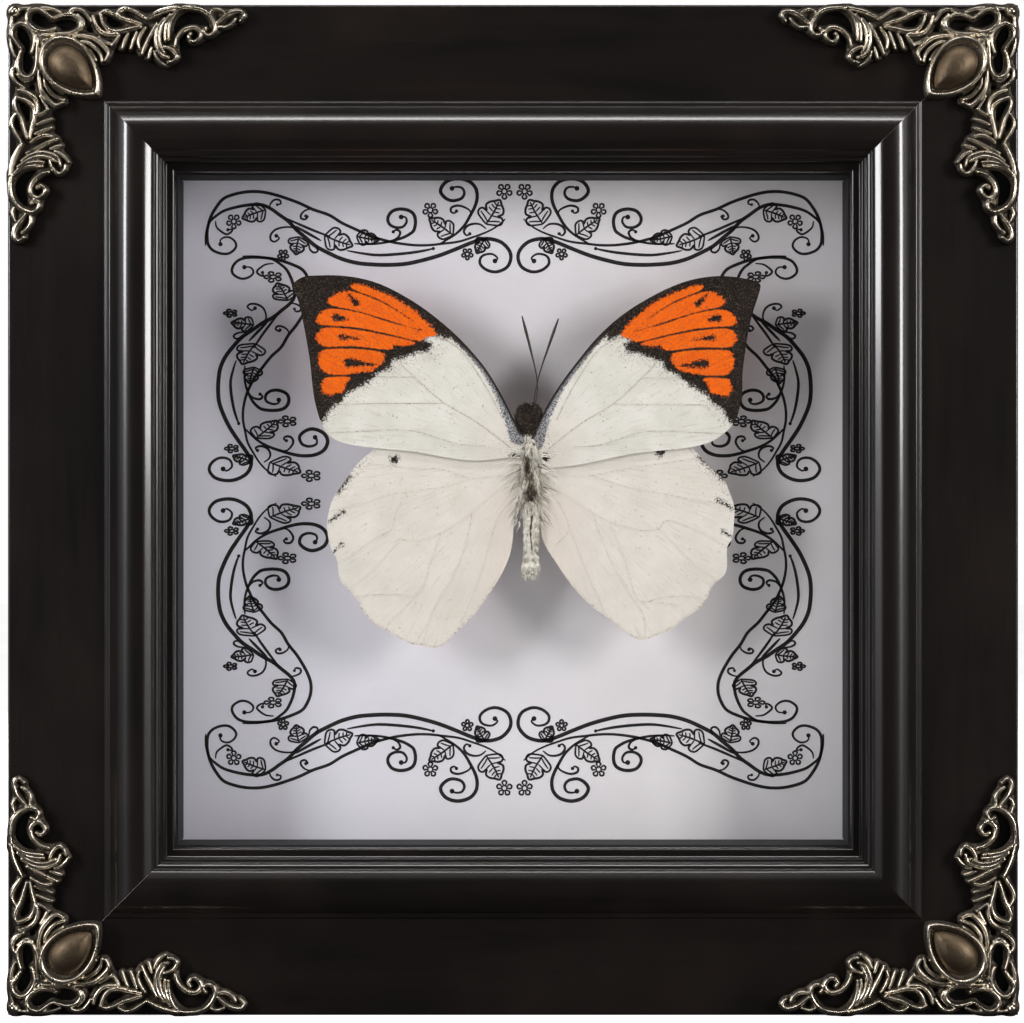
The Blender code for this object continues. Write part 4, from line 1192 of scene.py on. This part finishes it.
def make_body():
    ups = np.arange(BODY_RINGS[-1][0], BODY_RINGS[0][0] + 0.01, BODY_STEP)
    turns = np.linspace(0, math.tau, BODY_SEGMENTS, endpoint=False)
    points = []
    tones = []
    for up in ups:
        skin, _, tone = body_surface(turns, np.full(turns.shape, up))
        points.append(skin)
        tones.append(tone)
    make_piece("skin_of_body", to_world(np.concatenate(points)), tube_faces(len(ups), BODY_SEGMENTS),
               hair, ("butterfly_body",), sharp=60, numbers={"tone": np.concatenate(tones)})


def make_hairs(name, roots, leans, lengths, widths, tones, droop):
    """Tapered, bent hairs as small closed meshes; droop is added to the outer half."""
    count = len(roots)
    leans = leans / np.linalg.norm(leans, axis=1)[:, None]
    aside = np.cross(leans, np.array([0.31, 0.2, 0.93]))
    aside /= np.linalg.norm(aside, axis=1)[:, None]
    across = np.cross(leans, aside)
    middle = roots + leans * lengths[:, None] * 0.55
    tips = roots + (leans + droop) * lengths[:, None]
    points = np.zeros((count, 7, 3))
    for corner in range(3):
        angle = math.tau * corner / 3
        ring = aside * math.cos(angle) + across * math.sin(angle)
        points[:, corner] = roots + ring * widths[:, None]
        points[:, 3 + corner] = middle + ring * widths[:, None] * 0.7
    points[:, 6] = tips
    pattern = [[0, 2, 1]]
    for corner in range(3):
        turn = (corner + 1) % 3
        pattern.append([corner, turn, 3 + turn, 3 + corner])
        pattern.append([3 + corner, 3 + turn, 6])
    faces = []
    for number in range(count):
        first = 7 * number
        faces.extend([first + index for index in face] for face in pattern)
    make_piece(name, to_world(points.reshape(-1, 3)), faces, hair, sharp=80,
               numbers={"tone": np.repeat(tones, 7)})


def make_body_hair():
    random = np.random.default_rng(11)

    def scatter(count, part, per_lock):
        """Roots on the body's front and sides, gathered into locks that share a lean and a tone."""
        low, high = part
        locks = count // per_lock
        lock_up = random.uniform(low, high, locks)
        lock_turn = random.uniform(0.3, math.pi - 0.3, locks)
        lock = random.integers(0, locks, count)
        up = np.clip(lock_up[lock] + random.normal(0, 0.35, count), low, high)
        turn = lock_turn[lock] + random.normal(0, 0.11, count)
        skin, direction, tone = body_surface(turn, up)
        tone = tone + random.normal(0, 0.22, locks)[lock] + random.normal(0, 0.07, count)
        bend = random.normal(0, 0.30, (locks, 3))[lock]
        return up, skin, direction, tone, bend

    up, skin, direction, tone, bend = scatter(1900, THORAX, 14)
    bare = np.zeros(len(up))
    # Hair hangs down, so a patch shows only if the hair rooted above it is dark too
    for fall in (0.0, 1.1, 2.0):
        for x, height, half_width, half_height in BARE_PATCHES:
            away = ((skin[:, 0] - x) / half_width) ** 2 + ((up - fall - height) / half_height) ** 2
            bare = np.maximum(bare, np.exp(-away))
    lean = direction * np.array([0.12, 0.34, 0.3]) + bend * np.array([0.8, 0.4, 0.5])
    lean += random.normal(0, 0.07, direction.shape)
    lean[:, 2] -= 1.2
    make_hairs("thorax_hair", skin, lean, random.uniform(1.5, 3.1, len(up)) * (1 - 0.6 * bare),
               random.uniform(0.06, 0.11, len(up)), tone + 0.60 - 1.15 * bare, np.array([0, -0.22, -0.1]))

    up, skin, direction, tone, bend = scatter(1300, ABDOMEN, 8)
    lean = direction * 0.16 + 0.3 * bend + random.normal(0, 0.06, direction.shape)
    lean[:, 2] -= 1.2
    make_hairs("abdomen_hair", skin, lean, random.uniform(0.5, 1.1, len(up)),
               random.uniform(0.035, 0.06, len(up)), tone * 0.6 + 0.42, np.array([0, -0.12, -0.1]))

    up, skin, direction, tone, bend = scatter(2200, HEAD, 10)
    lean = direction + 0.4 * bend + random.normal(0, 0.25, direction.shape)
    lean[:, 2] += (up - 10.4) * 0.25
    dust = random.random(len(up)) < 0.015
    tone = np.where(dust, 1.0, 0.14 + random.normal(0, 0.10, len(up)))
    make_hairs("head_hair", skin, lean, random.uniform(0.3, 0.75, len(up)),
               random.uniform(0.035, 0.055, len(up)), tone, np.array([0, -0.1, 0]))

    # Long pale hairs that fan out from the body over the wing roots
    for side, sign in (("left", -1), ("right", 1)):
        count = ROOT_HAIRS
        up = random.uniform(-11.0, 4.0, count)
        root_x = sign * random.uniform(1.7, 2.5, count)
        toward = np.full(count, 1.3) + random.uniform(0, 0.35, count)
        toward -= np.where(up < -0.5, 0.45, 0.0)
        fan = math.radians(-18) + np.radians(random.normal(0, 16, count)) + 0.06 * (up - 1.0)
        lean = np.stack([sign * np.cos(fan), random.uniform(-0.05, 0.05, count), np.sin(fan)], axis=1)
        length = random.uniform(1.6, 6.5, count) * np.interp(up, [-11, -6, 2, 4], [0.4, 0.8, 1.0, 0.6])
        tone = np.where(random.random(count) < 0.12, 0.25, 1.15) + random.normal(0, 0.05, count)
        make_hairs(f"wing_root_hair_{side}", np.stack([root_x, toward, up], axis=1), lean, length,
                   random.uniform(0.05, 0.09, count), tone, np.array([0, 0, -0.12]))


ANTENNA_SEGMENTS = 10
ANTENNA_RADII = [0.16, 0.13, 0.12, 0.12, 0.13, 0.15, 0.24, 0.30, 0.12]
# (x from the body's axis, towards the viewer, up)
ANTENNA_ROUTES = {
    "left": [(0.6, 0.6, 12.6), (1.1, 0.9, 15.6), (1.35, 1.0, 18.5), (0.0, 1.0, 24.6), (-1.6, 1.0, 30.8)],
    "right": [(1.0, 0.6, 12.6), (1.45, 0.9, 15.6), (1.7, 1.0, 18.5), (3.6, 1.0, 24.4), (5.7, 1.0, 30.3)],
}


def make_antennae():
    """Closed tubes that swell into a club near their ends."""
    for side, route in ANTENNA_ROUTES.items():
        curve = smooth_curve(route, 8)
        thickness = np.interp(np.linspace(0, 1, len(curve)), np.linspace(0, 1, len(ANTENNA_RADII)),
                              ANTENNA_RADII)
        tangent = np.gradient(curve, axis=0)
        tangent /= np.linalg.norm(tangent, axis=1)[:, None]
        aside = np.cross(tangent, (0, 1, 0))
        aside /= np.linalg.norm(aside, axis=1)[:, None]
        across = np.cross(tangent, aside)
        points = []
        for centre, radius, first_axis, second_axis in zip(curve, thickness, aside, across):
            for index in range(ANTENNA_SEGMENTS):
                turn = direction_of(math.tau * index / ANTENNA_SEGMENTS)
                points.append(centre + radius * (first_axis * turn[0] + second_axis * turn[1]))
        make_piece(f"jointed_antenna_{side}", to_world(points), tube_faces(len(curve), ANTENNA_SEGMENTS),
                   horn, (f"antenna_{side}",))


# Studio -----------------------------------------------------------------------------------------

CAMERA_DISTANCE = 900.0
VIEW_WIDTH = 202.6
CAMERA_X = -0.2
CAMERA_Z = 99.7
SENSOR_WIDTH = 36.0
# In metres
FLOOR_REACH = 4.0
FLOOR_DROP = 0.0001
LIGHT_TARGET = (0.0, 0.0, 0.1)
# (name, place, size, watts, colour): two low boxes at the sides, a thin strip above, one behind
LIGHTS = [
    ("top_strip", (0.0, -0.38, 0.95), (0.9, 0.07), 3.6, (1.0, 0.99, 0.98)),
    ("left_box", (-0.90, -0.66, 0.40), (0.24, 0.45), 8.4, (0.98, 0.98, 1.0)),
    ("right_box", (0.90, -0.64, 0.35), (0.24, 0.45), 8.1, (1.0, 0.98, 0.965)),
    ("back_box", (-0.55, 0.95, 0.55), (0.8, 0.6), 16.0, (1.0, 0.99, 0.98)),
]
# The background is white to the camera, and weaker as a light and in reflections
FLOOR_GLOW = 1.1
WORLD_LIGHT = 0.07
WORLD_MIRRORED = 0.02


def add_area_light(name, place, size, power, color):
    data = bpy.data.lights.new(name, "AREA")
    data.shape = "RECTANGLE"
    data.size, data.size_y = size
    data.energy = power
    data.color = color
    light = bpy.data.objects.new(name, data)
    light.location = place
    aim = Vector(LIGHT_TARGET) - Vector(place)
    light.rotation_euler = aim.to_track_quat("-Z", "Y").to_euler()
    bpy.context.scene.collection.objects.link(light)


def make_studio():
    floor_mesh = bpy.data.meshes.new("floor")
    corners = [(x * FLOOR_REACH, y * FLOOR_REACH, 0) for x, y in ((-1, -1), (1, -1), (1, 1), (-1, 1))]
    floor_mesh.from_pydata(corners, [], [(0, 1, 2, 3)])
    floor = bpy.data.objects.new("floor", floor_mesh)
    floor.location.z = -FLOOR_DROP
    bpy.context.scene.collection.objects.link(floor)
    paint = Paint("pale_floor")
    cloud = paint.noise(300.0, 2.0)
    tone = paint.ramp(cloud, [(0.3, (0.78, 0.78, 0.78)), (0.7, (0.84, 0.84, 0.84))])
    seen = paint.node("LightPath").outputs["Is Camera Ray"]
    paint.feed(paint.shader.inputs["Emission Color"], tone)
    paint.feed(paint.shader.inputs["Emission Strength"], paint.scale(seen, 0.0, FLOOR_GLOW))
    floor_mesh.materials.append(paint.finish(tone, paint.scale(cloud, 0.7, 0.8)))
    floor.visible_glossy = False

    for light in LIGHTS:
        add_area_light(*light)

    world = bpy.data.worlds.new("studio")
    bpy.context.scene.world = world
    world.use_nodes = True
    tree = world.node_tree
    background = tree.nodes["Background"]
    path = tree.nodes.new("ShaderNodeLightPath")
    glossy = tree.nodes.new("ShaderNodeMix")
    glossy.inputs[2].default_value = WORLD_LIGHT
    glossy.inputs[3].default_value = WORLD_MIRRORED
    seen = tree.nodes.new("ShaderNodeMix")
    seen.inputs[3].default_value = 1.0
    tree.links.new(path.outputs["Is Glossy Ray"], glossy.inputs[0])
    tree.links.new(glossy.outputs[0], seen.inputs[2])
    tree.links.new(path.outputs["Is Camera Ray"], seen.inputs[0])
    tree.links.new(seen.outputs[0], background.inputs["Strength"])
    background.inputs["Color"].default_value = (1.0, 1.0, 1.0, 1.0)
    world.cycles.sampling_method = "NONE"
    bpy.context.scene.view_settings.view_transform = "Standard"


def add_camera():
    data = bpy.data.cameras.new("camera")
    data.sensor_width = SENSOR_WIDTH
    data.lens = SENSOR_WIDTH * CAMERA_DISTANCE / VIEW_WIDTH
    camera = bpy.data.objects.new("camera", data)
    camera.location = (CAMERA_X * MM, (ORNAMENT_Y - CAMERA_DISTANCE) * MM, CAMERA_Z * MM)
    camera.rotation_euler = (math.radians(90), 0, 0)
    bpy.context.scene.collection.objects.link(camera)
    bpy.context.scene.camera = camera


make_rails()
finish_cad_nodes()
make_print()
make_ornaments()
make_wings()
make_body()
make_body_hair()
make_antennae()
make_studio()
add_camera()
